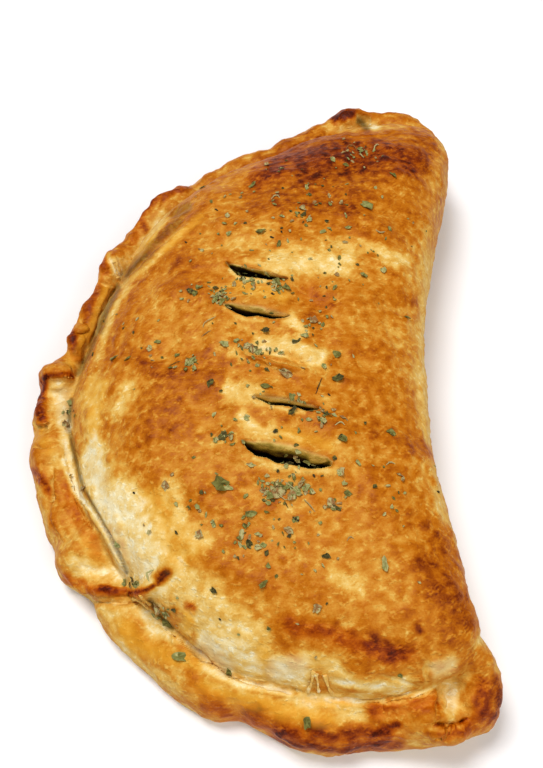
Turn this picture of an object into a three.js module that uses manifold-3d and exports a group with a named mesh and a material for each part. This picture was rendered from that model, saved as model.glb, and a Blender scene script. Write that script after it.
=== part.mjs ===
// A calzone: a 30 cm disc of pizza dough folded in half over its filling, rolled shut along the
// rim, slashed five times across the top, strewn with dried herbs and baked.
// Millimetres, +Z up. The length lies along Y, the fold is on +X and the rolled rim on -X.
// The origin is on the board, under the middle of the bounding box.

import * as THREE from 'three';
import { mergeVertices } from 'three/addons/utils/BufferGeometryUtils.js';
import Module from 'manifold-3d';

// ---------------------------------------------------------------- driving dimensions

const ORIGIN = new THREE.Vector3(-6.7, -0.3, 0); // the middle of the box, in the places below

const DOME_HEIGHT = 58;
const TIP_DROP = 10; // how much lower the dome is at its two tips
const TIP_REACH = 140; // from the middle to a tip
const SEAM_HEIGHT = 10; // where the dome is widest, along the rim
const FOLD_HEIGHT = 25; // where it is widest, along the fold
const SWELL = 1; // how far the baked dough swells and sinks

// The widest outline of the dome, anticlockwise from the middle of the fold.
const DOME_CENTRE = new THREE.Vector2(-6, 0);
const DOME_OUTLINE = [
  [61, -10], [67, 34], [78, 80], [83, 108], [80, 126], [66, 134], [40, 133], [8, 118], [-28, 96],
  [-56, 68], [-70, 34], [-79, 0], [-81, -30], [-71, -64], [-48, -98], [-16, -124], [24, -134],
  [54, -132], [69, -122], [67, -97], [61, -50],
];
const DOME_ASPECT = 1.7; // about its length over its width
const DOME_BEND = 0.3; // how far the lines from the centre bend to meet the edge squarely
const DOME_FACETS = [26, 40, 8];

// The rolled rim from the near tip to the far tip: its middle line, half its thickness, its
// height, and how far its top leans in over the dome (+) or out (-), per mm of height.
const RIM_STATIONS = [
  [60, -113, 7, 40, 0], [68, -129, 9, 28, 0], [59, -139, 10, 21, 0], [34, -137, 10, 19, 0.15],
  [6, -134, 10, 19, 0.2], [-24, -126, 9, 18, 0.2], [-48, -106, 9, 18, 0.2],
  [-68, -81, 10, 18, 0.2], [-81, -52, 10, 18, 0.1], [-87, -22, 8, 19, 0], [-83, 4, 6, 22, -0.2],
  [-74, 32, 5, 24, -0.25], [-65, 60, 5.5, 26, -0.25], [-49, 88, 7, 28, -0.15],
  [-22, 109, 8, 31, 0], [8, 122, 8, 33, 0], [34, 138, 8, 33, 0], [56, 141, 8, 34, 0],
  [71, 135, 9, 32, 0], [79, 122, 8, 30, 0],
];
const RIM_SQUARENESS = 2.4; // of its section: 2 is an ellipse
const RIM_END = 0.02; // the share of its run over which each end rounds off
const RIM_FACETS = [13, 124];

// Where the roll was pinched or pleated: place, rise, push outwards, reach along the rim.
const RIM_KNUCKLES = [
  [70, -131, 1, 1.5, 9], [62, -138, -3, -2, 6], [52, -138, 5, -2, 8], [16, -136, 1, 4, 13],
  [-9, -132, 0, -3, 8], [-42, -112, -2, -1, 9], [-62, -92, -1, -3, 6], [-70, -81, 5, 3, 6],
  [-80, -60, -2, 1, 9], [-87, -38, 3, 3, 9], [-88, -19, 3, 3, 6], [-86, -6, 5, 5, 5],
  [-83, 8, 0, -3, 6], [-76, 28, 2, 1, 6], [-69, 52, 3, 2, 7], [-60, 72, -2, 1, 8],
  [-48, 90, 1, 2, 8], [-36, 100, -3, 0, 9], [38, 139, 5, 2, 7],
];

const SOLE_THICKNESS = 8; // the bottom layer of dough, out under the rim
const SOLE_FOLD_EDGE = [[68, 108], [60, 66], [54, 22], [51, -22], [53, -66], [56, -104]];
const UNDERCUT = 1; // how far the pieces reach below the board before the base is cut flat

// Lumps of dough and hollows in it: middle, half sizes along, across and up, heading, climb.
const LUMPS = {
  scorchedTail: [[-40, -99, 32], [11, 3.5, 4], 24, 50], // the pleat's end, up on the dome
  scorchedKnob: [[-34, -95, 39], [5, 5, 4], 20, 45],
  farKnob: [[39, 142, 32], [7, 4, 4], -20, 0],
};
const HOLLOWS = {
  pocket: [[59, -134, 24], [6, 5, 4.5], 20, 0], // a dent between the last fold and the tip
  crease: [[58, -145, 19.5], [8, 4, 1.3], 8, 0],
  farHole: [[45, 138, 35], [4, 3, 7], 0, 0],
};

// The slashes: the middle of each, its length, opening, depth and heading in degrees.
const SLASHES = [
  [-5, 21, 26, 9, 12, -22], [-6, 1, 30, 8, 11, -14], [-3, -20, 34, 4, 5, -17],
  [6, -41, 28, 5, 8, -13], [5, -60, 34, 11, 14, -19],
];
const SLASH_SLANT = 0.5; // how far a slash leans towards the near end, per mm of depth
const LIP_RISE = 1.5; // how far the dough stands up beside a slash
const LIP_WIDTH = 6;

const HERB_LENGTH = 6; // the first flake's; the others get smaller, down to half of it
const HERB_THICKNESS = 1.2;
const HERB_COUNT = 36;
// Where the herbs fell thickest, and the middle and half sizes of the patch that has the rest.
const HERB_PLACES = [
  [6, -76], [20, -81], [-16, -55], [-20, 12], [-7, -17], [2, 14], [40, 98], [20, -47], [-28, -20],
  [-6, -94], [6, -29], [-4, 43], [39, 59], [52, 80], [-29, 13], [24, -31], [24, -57], [15, 71],
];
const HERB_PATCH = { middle: [12, 0], half: [38, 92] };

const CRUST_COLOUR = 0xc07a33;
const CRUST_ROUGHNESS = 0.55;

// ---------------------------------------------------------------- helpers

const UP = new THREE.Vector3(0, 0, 1);
const DOWN = new THREE.Vector3(0, 0, -1);
const FULL_TURN = 2 * Math.PI;
const { clamp, degToRad, lerp, smoothstep } = THREE.MathUtils;

const wasm = await Module();
wasm.setup();

function toSolid(geometry) {
  geometry.deleteAttribute('normal');
  geometry.deleteAttribute('uv');
  const merged = mergeVertices(geometry, 1e-4);
  const vertProperties = new Float32Array(merged.attributes.position.array);
  const triVerts = new Uint32Array(merged.index.array);
  return new wasm.Manifold(new wasm.Mesh({ numProp: 3, vertProperties, triVerts }));
}

function toGeometry(solid) {
  const mesh = solid.getMesh();
  const geometry = new THREE.BufferGeometry();
  geometry.setAttribute('position', new THREE.BufferAttribute(mesh.vertProperties, 3));
  geometry.setIndex(new THREE.BufferAttribute(mesh.triVerts, 1));
  geometry.computeVertexNormals();
  return geometry;
}

// Moves every vertex of a geometry to the place that the rule gives for it.
function mapVertices(geometry, rule) {
  const position = geometry.attributes.position;
  const vertex = new THREE.Vector3();
  for (let i = 0; i < position.count; i += 1) {
    rule(vertex.fromBufferAttribute(position, i));
    position.setXYZ(i, vertex.x, vertex.y, vertex.z);
  }
  return geometry;
}

// Splits each four-cornered facet of a box geometry along its shorter diagonal.
function splitFacetsShort(geometry) {
  const corners = geometry.index.array;
  const place = (i) => new THREE.Vector3().fromBufferAttribute(geometry.attributes.position, i);
  for (let i = 0; i < corners.length; i += 6) {
    const [a, b, d, , c] = corners.slice(i, i + 6);
    if (place(a).distanceTo(place(c)) < place(b).distanceTo(place(d))) {
      corners.set([a, b, c, a, c, d], i);
    }
  }
  return geometry;
}

// A smooth curve through rows of any length, read at t from 0 to 1.
function rowCurve(rows, closed) {
  const columns = rows[0].length;
  const curves = [];
  for (let c = 0; c < columns; c += 2) {
    const points = rows.map((row) => new THREE.Vector3(row[c], row[c + 1] ?? 0, 0));
    curves.push(new THREE.CatmullRomCurve3(points, closed, 'catmullrom', 0.5));
  }
  return (t) => curves.flatMap((curve) => curve.getPoint(t).toArray().slice(0, 2));
}

// The slow, uneven swell of baked dough over the board.
function swell(x, y) {
  const slanting = Math.sin(0.21 * x + 0.09 * y + 1);
  const crossing = Math.sin(0.13 * y - 0.17 * x);
  const short = Math.sin(0.31 * y + 0.11 * x + 2);
  return SWELL * (slanting + crossing + short) / 3;
}

// Park and Miller's generator, so that every build strews the herbs alike.
let seed = 11;
function random() {
  seed = (seed * 16807) % 2147483647;
  return seed / 2147483647;
}

// ---------------------------------------------------------------- the dome

const domeOutline = rowCurve(DOME_OUTLINE, true);
const OUTLINE_STEPS = 720;
const domeReach = Array.from({ length: OUTLINE_STEPS }, (_, i) => {
  const [x, y] = domeOutline(i / OUTLINE_STEPS);
  const arm = new THREE.Vector2(x, y).sub(DOME_CENTRE);
  return { angle: Math.atan2(arm.y, arm.x), radius: arm.length() };
}).sort((a, b) => a.angle - b.angle);

// How far the widest outline lies from the centre, in a direction.
function domeRadius(angle) {
  const after = Math.max(domeReach.findIndex((entry) => entry.angle >= angle), 0);
  const b = domeReach[after];
  const a = domeReach[after - 1] ?? domeReach[OUTLINE_STEPS - 1];
  const gap = (b.angle - a.angle + FULL_TURN) % FULL_TURN || 1;
  return lerp(a.radius, b.radius, ((angle - a.angle + FULL_TURN) % FULL_TURN) / gap);
}

const domeTop = (y) => DOME_HEIGHT - TIP_DROP * (Math.abs(y) / TIP_REACH) ** 2.5;

// The height of the widest outline: low at the seam, half way up at the fold.
function domeWidest(angle) {
  return lerp(SEAM_HEIGHT, FOLD_HEIGHT, smoothstep(Math.cos(angle), -0.1, 0.6));
}

// How square the dome's shoulder is: rounder towards the rim, tighter at the fold and the tips.
const domeSquareness = (angle) => 3 - 0.7 * smoothstep(-Math.cos(angle), 0.2, 1);
const UNDERSIDE_SQUARENESS = 5;

// The dough beside each slash stands up in a low ridge, which the cut then opens.
function slashLips(x, y) {
  let rise = 0;
  for (const [cx, cy, length, opening, , heading] of SLASHES) {
    const arm = new THREE.Vector2(x - cx, y - cy).rotateAround({ x: 0, y: 0 }, -degToRad(heading));
    const along = (arm.x / (0.62 * length)) ** 4;
    const across = (arm.y / (opening / 2 + LIP_WIDTH)) ** 2;
    rise += LIP_RISE * Math.exp(-along - across);
  }
  return rise;
}

// Takes a point of the unit ball to the dome.
function domeShape(vertex) {
  const above = vertex.z > 0;
  const angle = Math.atan2(DOME_ASPECT * vertex.y, vertex.x);
  const run = Math.hypot(vertex.x, vertex.y);
  const rise = Math.abs(vertex.z);
  const squareness = above ? domeSquareness(angle) : UNDERSIDE_SQUARENESS;
  const scale = (run ** squareness + rise ** squareness) ** (1 / squareness);
  const share = run / scale;
  const reach = share * domeRadius(angle);
  const x = DOME_CENTRE.x + reach * Math.cos(angle);
  const y = DOME_CENTRE.y + reach * Math.sin(angle) * (1 + DOME_BEND * (1 - share));
  const widest = domeWidest(angle);
  const top = domeTop(y) + swell(x, y) + slashLips(x, y);
  vertex.set(x, y, lerp(widest, above ? top : -UNDERCUT, rise / scale));
}

// A box blown up to a ball has even facets all over, where a sphere's crowd at its poles.
function makeDome() {
  const ball = mapVertices(new THREE.BoxGeometry(2, 2, 2, ...DOME_FACETS), (vertex) => {
    vertex.set(...vertex.toArray().map((side) => Math.tan(side * Math.PI / 4))).normalize();
  });
  return toSolid(splitFacetsShort(mapVertices(ball, domeShape)));
}

// ---------------------------------------------------------------- the rim and the sole

const rimStation = rowCurve(RIM_STATIONS, false);

function rimHeading(t) {
  const [x0, y0] = rimStation(Math.max(t - 0.004, 0));
  const [x1, y1] = rimStation(Math.min(t + 0.004, 1));
  return new THREE.Vector2(x1 - x0, y1 - y0).normalize();
}

function knuckles(x, y) {
  const sum = { rise: 0, push: 0 };
  for (const [kx, ky, rise, push, reach] of RIM_KNUCKLES) {
    const near = Math.exp(-((x - kx) ** 2 + (y - ky) ** 2) / reach ** 2);
    sum.rise += rise * near;
    sum.push += push * near;
  }
  return sum;
}

// Takes a point of the unit ball to the rim: its poles are the rim's two ends.
function rimShape(vertex) {
  const t = Math.acos(clamp(vertex.y, -1, 1)) / Math.PI;
  const [x, y, half, height, lean] = rimStation(t);
  const { rise, push } = knuckles(x, y);
  const fromEnd = Math.min(t, 1 - t, RIM_END) / RIM_END;
  const round = Math.sqrt(1 - (1 - fromEnd) ** 2);
  const around = Math.atan2(vertex.z, vertex.x);
  const [out, up] = [Math.cos(around), Math.sin(around)];
  const edge = (Math.abs(out) ** RIM_SQUARENESS + Math.abs(up) ** RIM_SQUARENESS)
    ** (-1 / RIM_SQUARENESS);
  const top = (height + rise) * lerp(0.4, 1, round) + swell(2 * x, 2 * y);
  const z = lerp(-UNDERCUT, top, (1 + up * edge) / 2);
  const thickness = half + (out > 0 ? push : 0);
  const side = round * out * edge * thickness - lean * (z - top / 2);
  const heading = rimHeading(t);
  vertex.set(x - heading.y * side, y + heading.x * side, z);
}

function makeRim() {
  return toSolid(mapVertices(new THREE.SphereGeometry(1, ...RIM_FACETS), rimShape));
}

// The bottom layer of dough joins the dome to the rim under the groove between them.
function makeSole() {
  const outline = [];
  for (let t = 0.04; t <= 0.96; t += 0.02) outline.push(rimStation(t));
  outline.push(...SOLE_FOLD_EDGE);
  const shape = new THREE.Shape(outline.map(([x, y]) => new THREE.Vector2(x, y)));
  const depth = SOLE_THICKNESS + UNDERCUT;
  const slab = new THREE.ExtrudeGeometry(shape, { depth, bevelEnabled: false });
  return toSolid(slab.translate(0, 0, -UNDERCUT));
}

// ---------------------------------------------------------------- lumps, slashes and herbs

function makeLump([middle, halfSizes, heading, climb]) {
  const lump = new THREE.IcosahedronGeometry(1, 2).scale(...halfSizes);
  lump.rotateY(-degToRad(climb)).rotateZ(degToRad(heading));
  return toSolid(lump.translate(...middle));
}

function makeSlash([x, y, length, opening, depth, heading]) {
  const cutter = mapVertices(new THREE.SphereGeometry(1, 16, 10), (vertex) => {
    const rise = vertex.z * depth;
    vertex.set(vertex.x * length / 2, vertex.y * opening / 2 + SLASH_SLANT * rise, rise);
  });
  return toSolid(cutter.rotateZ(degToRad(heading)).translate(x, y, domeTop(y) - 1));
}

// A flake lies where a line straight down meets the dough, turned to the slope there.
function makeFlake(doughMesh, [x, y], length) {
  const width = length * lerp(0.5, 0.8, random());
  const flake = new THREE.IcosahedronGeometry(1, 0);
  flake.scale(length / 2, width / 2, HERB_THICKNESS).rotateZ(random() * Math.PI);
  const plumb = new THREE.Raycaster(new THREE.Vector3(x, y, 2 * DOME_HEIGHT), DOWN);
  const [{ point, face }] = plumb.intersectObject(doughMesh);
  flake.applyQuaternion(new THREE.Quaternion().setFromUnitVectors(UP, face.normal));
  return toSolid(flake.translate(...point));
}

function herbPlace(i) {
  if (i < HERB_PLACES.length) return HERB_PLACES[i];
  const turn = FULL_TURN * random();
  const out = Math.sqrt(random());
  const { middle, half } = HERB_PATCH;
  return [middle[0] + half[0] * out * Math.cos(turn), middle[1] + half[1] * out * Math.sin(turn)];
}

function strewHerbs(dough) {
  const doughMesh = new THREE.Mesh(toGeometry(dough));
  let strewn = dough;
  for (let i = 0; i < HERB_COUNT; i += 1) {
    const length = HERB_LENGTH * (1 - 0.5 * i / HERB_COUNT);
    strewn = strewn.add(makeFlake(doughMesh, herbPlace(i), length));
  }
  return strewn;
}

// ---------------------------------------------------------------- the whole

function makeCalzone() {
  let dough = makeDome().add(makeRim()).add(makeSole());
  for (const lump of Object.values(LUMPS)) dough = dough.add(makeLump(lump));
  for (const hollow of Object.values(HOLLOWS)) dough = dough.subtract(makeLump(hollow));
  dough = strewHerbs(dough);
  for (const slash of SLASHES) dough = dough.subtract(makeSlash(slash));
  const aboveBoard = new THREE.BoxGeometry(400, 400, 200).translate(0, 0, 100);
  const pieces = dough.intersect(toSolid(aboveBoard)).decompose();
  // A slash can cut a crumb off a flake: only the calzone itself is kept.
  return pieces.sort((a, b) => b.volume() - a.volume())[0];
}

const crust = new THREE.Mesh(
  toGeometry(makeCalzone()).translate(-ORIGIN.x, -ORIGIN.y, -ORIGIN.z),
  new THREE.MeshStandardMaterial({
    color: CRUST_COLOUR, roughness: CRUST_ROUGHNESS, metalness: 0,
  }),
);
crust.name = 'crust';

const calzone = new THREE.Group();
calzone.add(crust);

export default calzone;
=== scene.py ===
"""A baked calzone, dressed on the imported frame: its crust, the strewn herbs and a stage."""

import itertools
import math

import bmesh
import bpy
import numpy as np
from bpy.props import FloatProperty, FloatVectorProperty, IntProperty, PointerProperty
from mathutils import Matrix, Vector
from mathutils.bvhtree import BVHTree


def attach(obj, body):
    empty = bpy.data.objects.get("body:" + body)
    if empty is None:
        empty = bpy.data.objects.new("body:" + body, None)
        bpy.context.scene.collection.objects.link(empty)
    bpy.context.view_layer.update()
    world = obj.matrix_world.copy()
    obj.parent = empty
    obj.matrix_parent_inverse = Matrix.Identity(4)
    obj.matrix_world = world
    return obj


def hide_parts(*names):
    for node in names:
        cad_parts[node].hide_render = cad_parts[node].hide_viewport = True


bl_info = {
    "name": "Calzone",
    "version": (1, 0, 0),
    "blender": (4, 5, 0),
    "location": "View3D > Sidebar > Calzone",
    "description": "Bakes a folded, slashed calzone and strews dried herbs on it",
    "category": "Add Mesh",
}

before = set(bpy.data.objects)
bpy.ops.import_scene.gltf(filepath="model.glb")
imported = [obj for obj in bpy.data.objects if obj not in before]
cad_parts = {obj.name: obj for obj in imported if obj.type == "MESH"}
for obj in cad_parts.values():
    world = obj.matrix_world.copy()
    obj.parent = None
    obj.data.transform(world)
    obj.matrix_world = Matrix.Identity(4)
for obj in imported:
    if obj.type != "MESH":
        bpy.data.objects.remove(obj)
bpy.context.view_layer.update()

# ------------------------------------------------------------------ sizes, in millimetres

MM = 0.001  # a millimetre, in Blender's metres
ORIGIN = np.array([-6.7, -0.3, 0.0])  # the frame's origin, in the places below

DOME_HEIGHT = 58
TIP_DROP = 10  # how much lower the dome is at its two tips
TIP_REACH = 140  # from the middle to a tip
TIP_CURVE = 2.5  # how late it drops towards them
SEAM_HEIGHT = 10  # where the dome is widest, along the rim
FOLD_HEIGHT = 25  # where it is widest, along the fold
FOLD_BEGINS = (-0.1, 0.6)  # cosines of the turn from the fold's middle, between those heights
DOME_CENTRE = (-6, 0)
DOME_ASPECT = 1.7  # its faces are spread as on a dome that many times longer than wide
DOME_BEND = 0.3  # how far they are pulled towards its tips, near the top
# How square its cross section is, where 2 is round: above, how much less so along the rim, and
# below. The cosines are of the turn from the rim's middle.
DOME_SQUARENESS = (3, 0.7, 5)
SEAM_BEGINS = (0.2, 1)
SWELL = 1  # how far the baked dough swells and sinks
# The waves of that swell: radians per mm across and along, and their start.
SWELL_WAVES = [(0.21, 0.09, 1), (-0.17, 0.13, 0), (0.11, 0.31, 2)]
# The widest outline of the dome, anticlockwise from the middle of the fold.
DOME_OUTLINE = [
    (61, -10), (67, 34), (78, 80), (83, 108), (80, 126), (66, 134), (40, 133), (8, 118), (-28, 96),
    (-56, 68), (-70, 34), (-79, 0), (-81, -30), (-71, -64), (-48, -98), (-16, -124), (24, -134),
    (54, -132), (69, -122), (67, -97), (61, -50),
]
OUTLINE_READINGS = 720
DOME_FACES = (360, 240)  # around, and from top to bottom

# The rolled rim from the near tip to the far tip: its middle line, half its thickness, its
# height, and how far its top leans in over the dome (+) or out (-), per mm of height.
RIM_STATIONS = [
    (60, -113, 7, 40, 0), (68, -129, 9, 28, 0), (59, -139, 10, 21, 0), (34, -137, 10, 19, 0.15),
    (6, -134, 10, 19, 0.2), (-24, -126, 9, 18, 0.2), (-48, -106, 9, 18, 0.2),
    (-68, -81, 10, 18, 0.2), (-81, -52, 10, 18, 0.1), (-87, -22, 8, 19, 0), (-83, 4, 6, 22, -0.2),
    (-74, 32, 5, 24, -0.25), (-63.8, 59.2, 7, 26, -0.25), (-47, 85.4, 10, 28, -0.1),
    (-20.6, 106.2, 11, 31, 0.05), (9, 119.8, 10.2, 33, 0), (34, 138, 8, 33, 0), (56, 141, 8, 34, 0),
    (71, 135, 9, 32, 0), (79, 122, 8, 30, 0),
]
RIM_SQUARENESS = 2.4  # of its cross section, where 2 is round
RIM_END = 0.02  # share of its length over which each end is rounded off
RIM_END_HEIGHT = 0.4  # share of its height that is left at the very end
RIM_STEP = 0.004  # share of its length, each way, over which its heading is taken
RIM_READINGS = 400
RIM_FACES = (48, 620)  # around, and from end to end
# Where the roll was pinched or pleated: place, rise, push outwards, reach along the rim.
RIM_KNUCKLES = [
    (70, -131, 1, 1.5, 9), (62, -138, -3, -2, 6), (52, -138, 5, -2, 8), (16, -136, 1, 4, 13),
    (-9, -132, 0, -3, 8), (-42, -112, -2, -1, 9), (-62, -92, -1, -3, 6), (-70, -81, 5, 3, 6),
    (-80, -60, -2, 1, 9), (-87, -38, 3, 3, 9), (-88, -19, 3, 3, 6), (-86, -6, 5, 5, 5),
    (-83, 8, 0, -3, 6), (-76, 28, 2, 1, 6), (-69, 52, 3, 2, 7), (-60, 72, -2, 1, 8),
    (-48, 90, 1, 2, 8), (-36, 100, -3, 0, 9), (38, 139, 5, 2, 7),
]

SOLE_THICKNESS = 8
SOLE_SHARES = np.arange(0.04, 0.961, 0.02)  # along the rim's middle line, which the sole follows
SOLE_FOLD_EDGE = [(68, 108), (60, 66), (54, 22), (51, -22), (53, -66), (56, -104)]
UNDERCUT = 1  # how far the parts reach below the floor, before they are pressed flat on it

# Lumps of dough and hollows in it: middle, half sizes along, across and up, heading, climb.
LUMPS = {
    "scorched tail": ((-40, -99, 32), (11, 3.5, 4), 24, 50),
    "scorched knob": ((-34, -95, 39), (5, 5, 4), 20, 45),
    "far knob": ((39, 142, 32), (7, 4, 4), -20, 0),
}
HOLLOWS = {
    "pocket": ((59, -134, 24), (6, 5, 4.5), 20, 0),
    "crease": ((58, -145, 19.5), (8, 4, 1.3), 8, 0),
    "far hole": ((45, 138, 35), (4, 3, 7), 0, 0),
}
LUMP_FACES = (32, 20)  # around, and from pole to pole

# The low lips round the slashes: the middle of each slash, its length, opening, and heading in
# degrees.
SLASHES = [
    (-5, 21, 26, 9, -22), (-6, 1, 30, 8, -14), (-3, -20, 34, 4, -17), (6, -41, 28, 5, -13),
    (5, -60, 34, 11, -19),
]
LIP_RISE = 1.5
LIP_WIDTH = 6
LIP_LENGTH = 0.62  # from a slash's middle, in lengths of the slash

# ------------------------------------------------------------------ the camera and its frame

FRAME_WIDTH = 543  # pixels
FRAME_HEIGHT = 768
FOCAL_PIXELS = 900
SENSOR = 36  # mm, along the frame's longer side
CAMERA_PLACE = np.array([0, -215, 326]) - ORIGIN
CAMERA_TILT = math.radians(34)  # up from straight down, looking along +Y
CAMERA_RIGHT = np.array([1, 0, 0])
CAMERA_UP = np.array([0, math.cos(CAMERA_TILT), math.sin(CAMERA_TILT)])
CAMERA_AHEAD = np.array([0, math.sin(CAMERA_TILT), -math.cos(CAMERA_TILT)])


def to_pixels(points):
    """Where points, in mm, appear in the camera's frame: across and down."""
    arm = points - CAMERA_PLACE
    depth = arm @ CAMERA_AHEAD
    across = FRAME_WIDTH / 2 + FOCAL_PIXELS * (arm @ CAMERA_RIGHT) / depth
    down = FRAME_HEIGHT / 2 - FOCAL_PIXELS * (arm @ CAMERA_UP) / depth
    return np.stack([across, down], axis=1)


def pixel_ray(pixel):
    """The way from the camera through a pixel of its frame."""
    across = (pixel[0] - FRAME_WIDTH / 2) / FOCAL_PIXELS
    up = (FRAME_HEIGHT / 2 - pixel[1]) / FOCAL_PIXELS
    return CAMERA_AHEAD + across * CAMERA_RIGHT + up * CAMERA_UP


def land(tree, pixel):
    """The place and the normal, in mm, where a pixel of the frame meets the dough, or None."""
    place, normal, _, _ = tree.ray_cast(Vector(CAMERA_PLACE), Vector(pixel_ray(pixel)))
    return None if place is None else (np.array(place), np.array(normal))


# ------------------------------------------------------------------ places on the dough

# Places below are pixels of the camera's frame, 543 wide and 768 high, cast onto the dough.

# The slashes' openings: far edge, near lip, depth in mm, how much of the opening is wall, and
# how far that wall drops, in mm.
SLASH_EDGES = {
    "first": (
        [(225, 261), (240, 262), (252, 266), (268, 269), (280, 275), (290, 279)],
        [(225, 261), (230, 268), (237, 275), (246, 277), (258, 278), (270, 280), (290, 279)],
        9, 0.52, 3),
    "second": (
        [(221, 303), (232, 299), (243, 300), (258, 302), (272, 305), (286, 311), (291, 315)],
        [(221, 303), (227, 308), (236, 313), (246, 317), (258, 316), (272, 319), (284, 318),
         (291, 315)],
        9, 0.7, 3.5),
    "fourth": (
        [(251, 395), (262, 393), (280, 394), (300, 399), (316, 403), (323, 408)],
        [(251, 395), (262, 401), (270, 405), (285, 406), (298, 408), (306, 411), (316, 410),
         (323, 408)],
        8, 0.65, 3),
    "fifth": (
        [(241, 439), (256, 436), (272, 436), (292, 440), (313, 448), (327, 453), (332, 457),
         (333, 461)],
        [(241, 439), (247, 449), (256, 456), (267, 458), (276, 463), (292, 465), (310, 469),
         (324, 468), (331, 466), (333, 461)],
        13, 0.68, 5.5),
}

# Below, the walls' tone deepens with depth and turns dark near the bottom: painted shade of the
# slash's depths over the crumb's own pale colour.
WALL_CURVE = 1.9  # how late the walls turn down; 1 is straight
FALL = 0.25  # how much of the opening lies between a wall and the bottom
WALL_TONES = (0.16, 0.5)  # at the top of the walls and further down
WALL_STARTS = (0.1, 2.2)  # mm under the skin, where the crust gives way to crumb
WALL_DARKENS = (1, 6)  # mm under the skin, between those two tones
PAINTED_DARK_STARTS = (4.5, 8.5)  # mm under the skin, where it becomes dark
# Light and shade inside the slashes: tone from 0 (skin) to 1 (dark), then as for the browning.
SLASH_SHADE = {
    "first, wall": (0.56, 4, 1, [(235, 264), (250, 267), (262, 270)]),
    "first, dark": (1, 3.5, 1, [(233, 266), (240, 270), (250, 275), (260, 278)]),
    "first, right": (0.34, 4, 1, [(268, 273), (288, 279)]),
    "second, wall": (0.52, 4, 1, [(228, 303), (245, 305), (262, 308)]),
    "second, dark": (0.9, 2.4, 1, [(228, 307), (238, 311), (250, 314), (266, 318)]),
    "second, right": (0.22, 5, 1, [(272, 310), (286, 315)]),
    "fourth, wall": (0.32, 4, 1, [(262, 396), (285, 400), (310, 406)]),
    "fourth, dark": (0.85, 2, 1, [(278, 405), (288, 406), (300, 408), (312, 410)]),
    "fifth, wall, left": (0.76, 5, 1, [(244, 442), (252, 446)]),
    "fifth, wall": (0.56, 5, 1, [(258, 442), (286, 446)]),
    "fifth, wall, right": (0.42, 5, 1, [(292, 449), (322, 457)]),
    "fifth, lower wall": (0.72, 3.5, 1, [(256, 450), (285, 455), (306, 461)]),
    "fifth, dark": (1, 3.5, 1, [(246, 449), (256, 455), (270, 459), (284, 462)]),
    "fifth, dark, right": (0.8, 1.6, 1, [(290, 464), (315, 467), (328, 463)]),
    "fifth, ring": (0.66, 2, 1, [(325, 456), (330, 461), (325, 465)]),
}

# The bottom of the groove between the rim and the dome, on the left.
LEFT_GROOVE = [(72, 400), (68, 425), (76, 460), (84, 490), (98, 514), (113, 542), (127, 572)]
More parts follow.
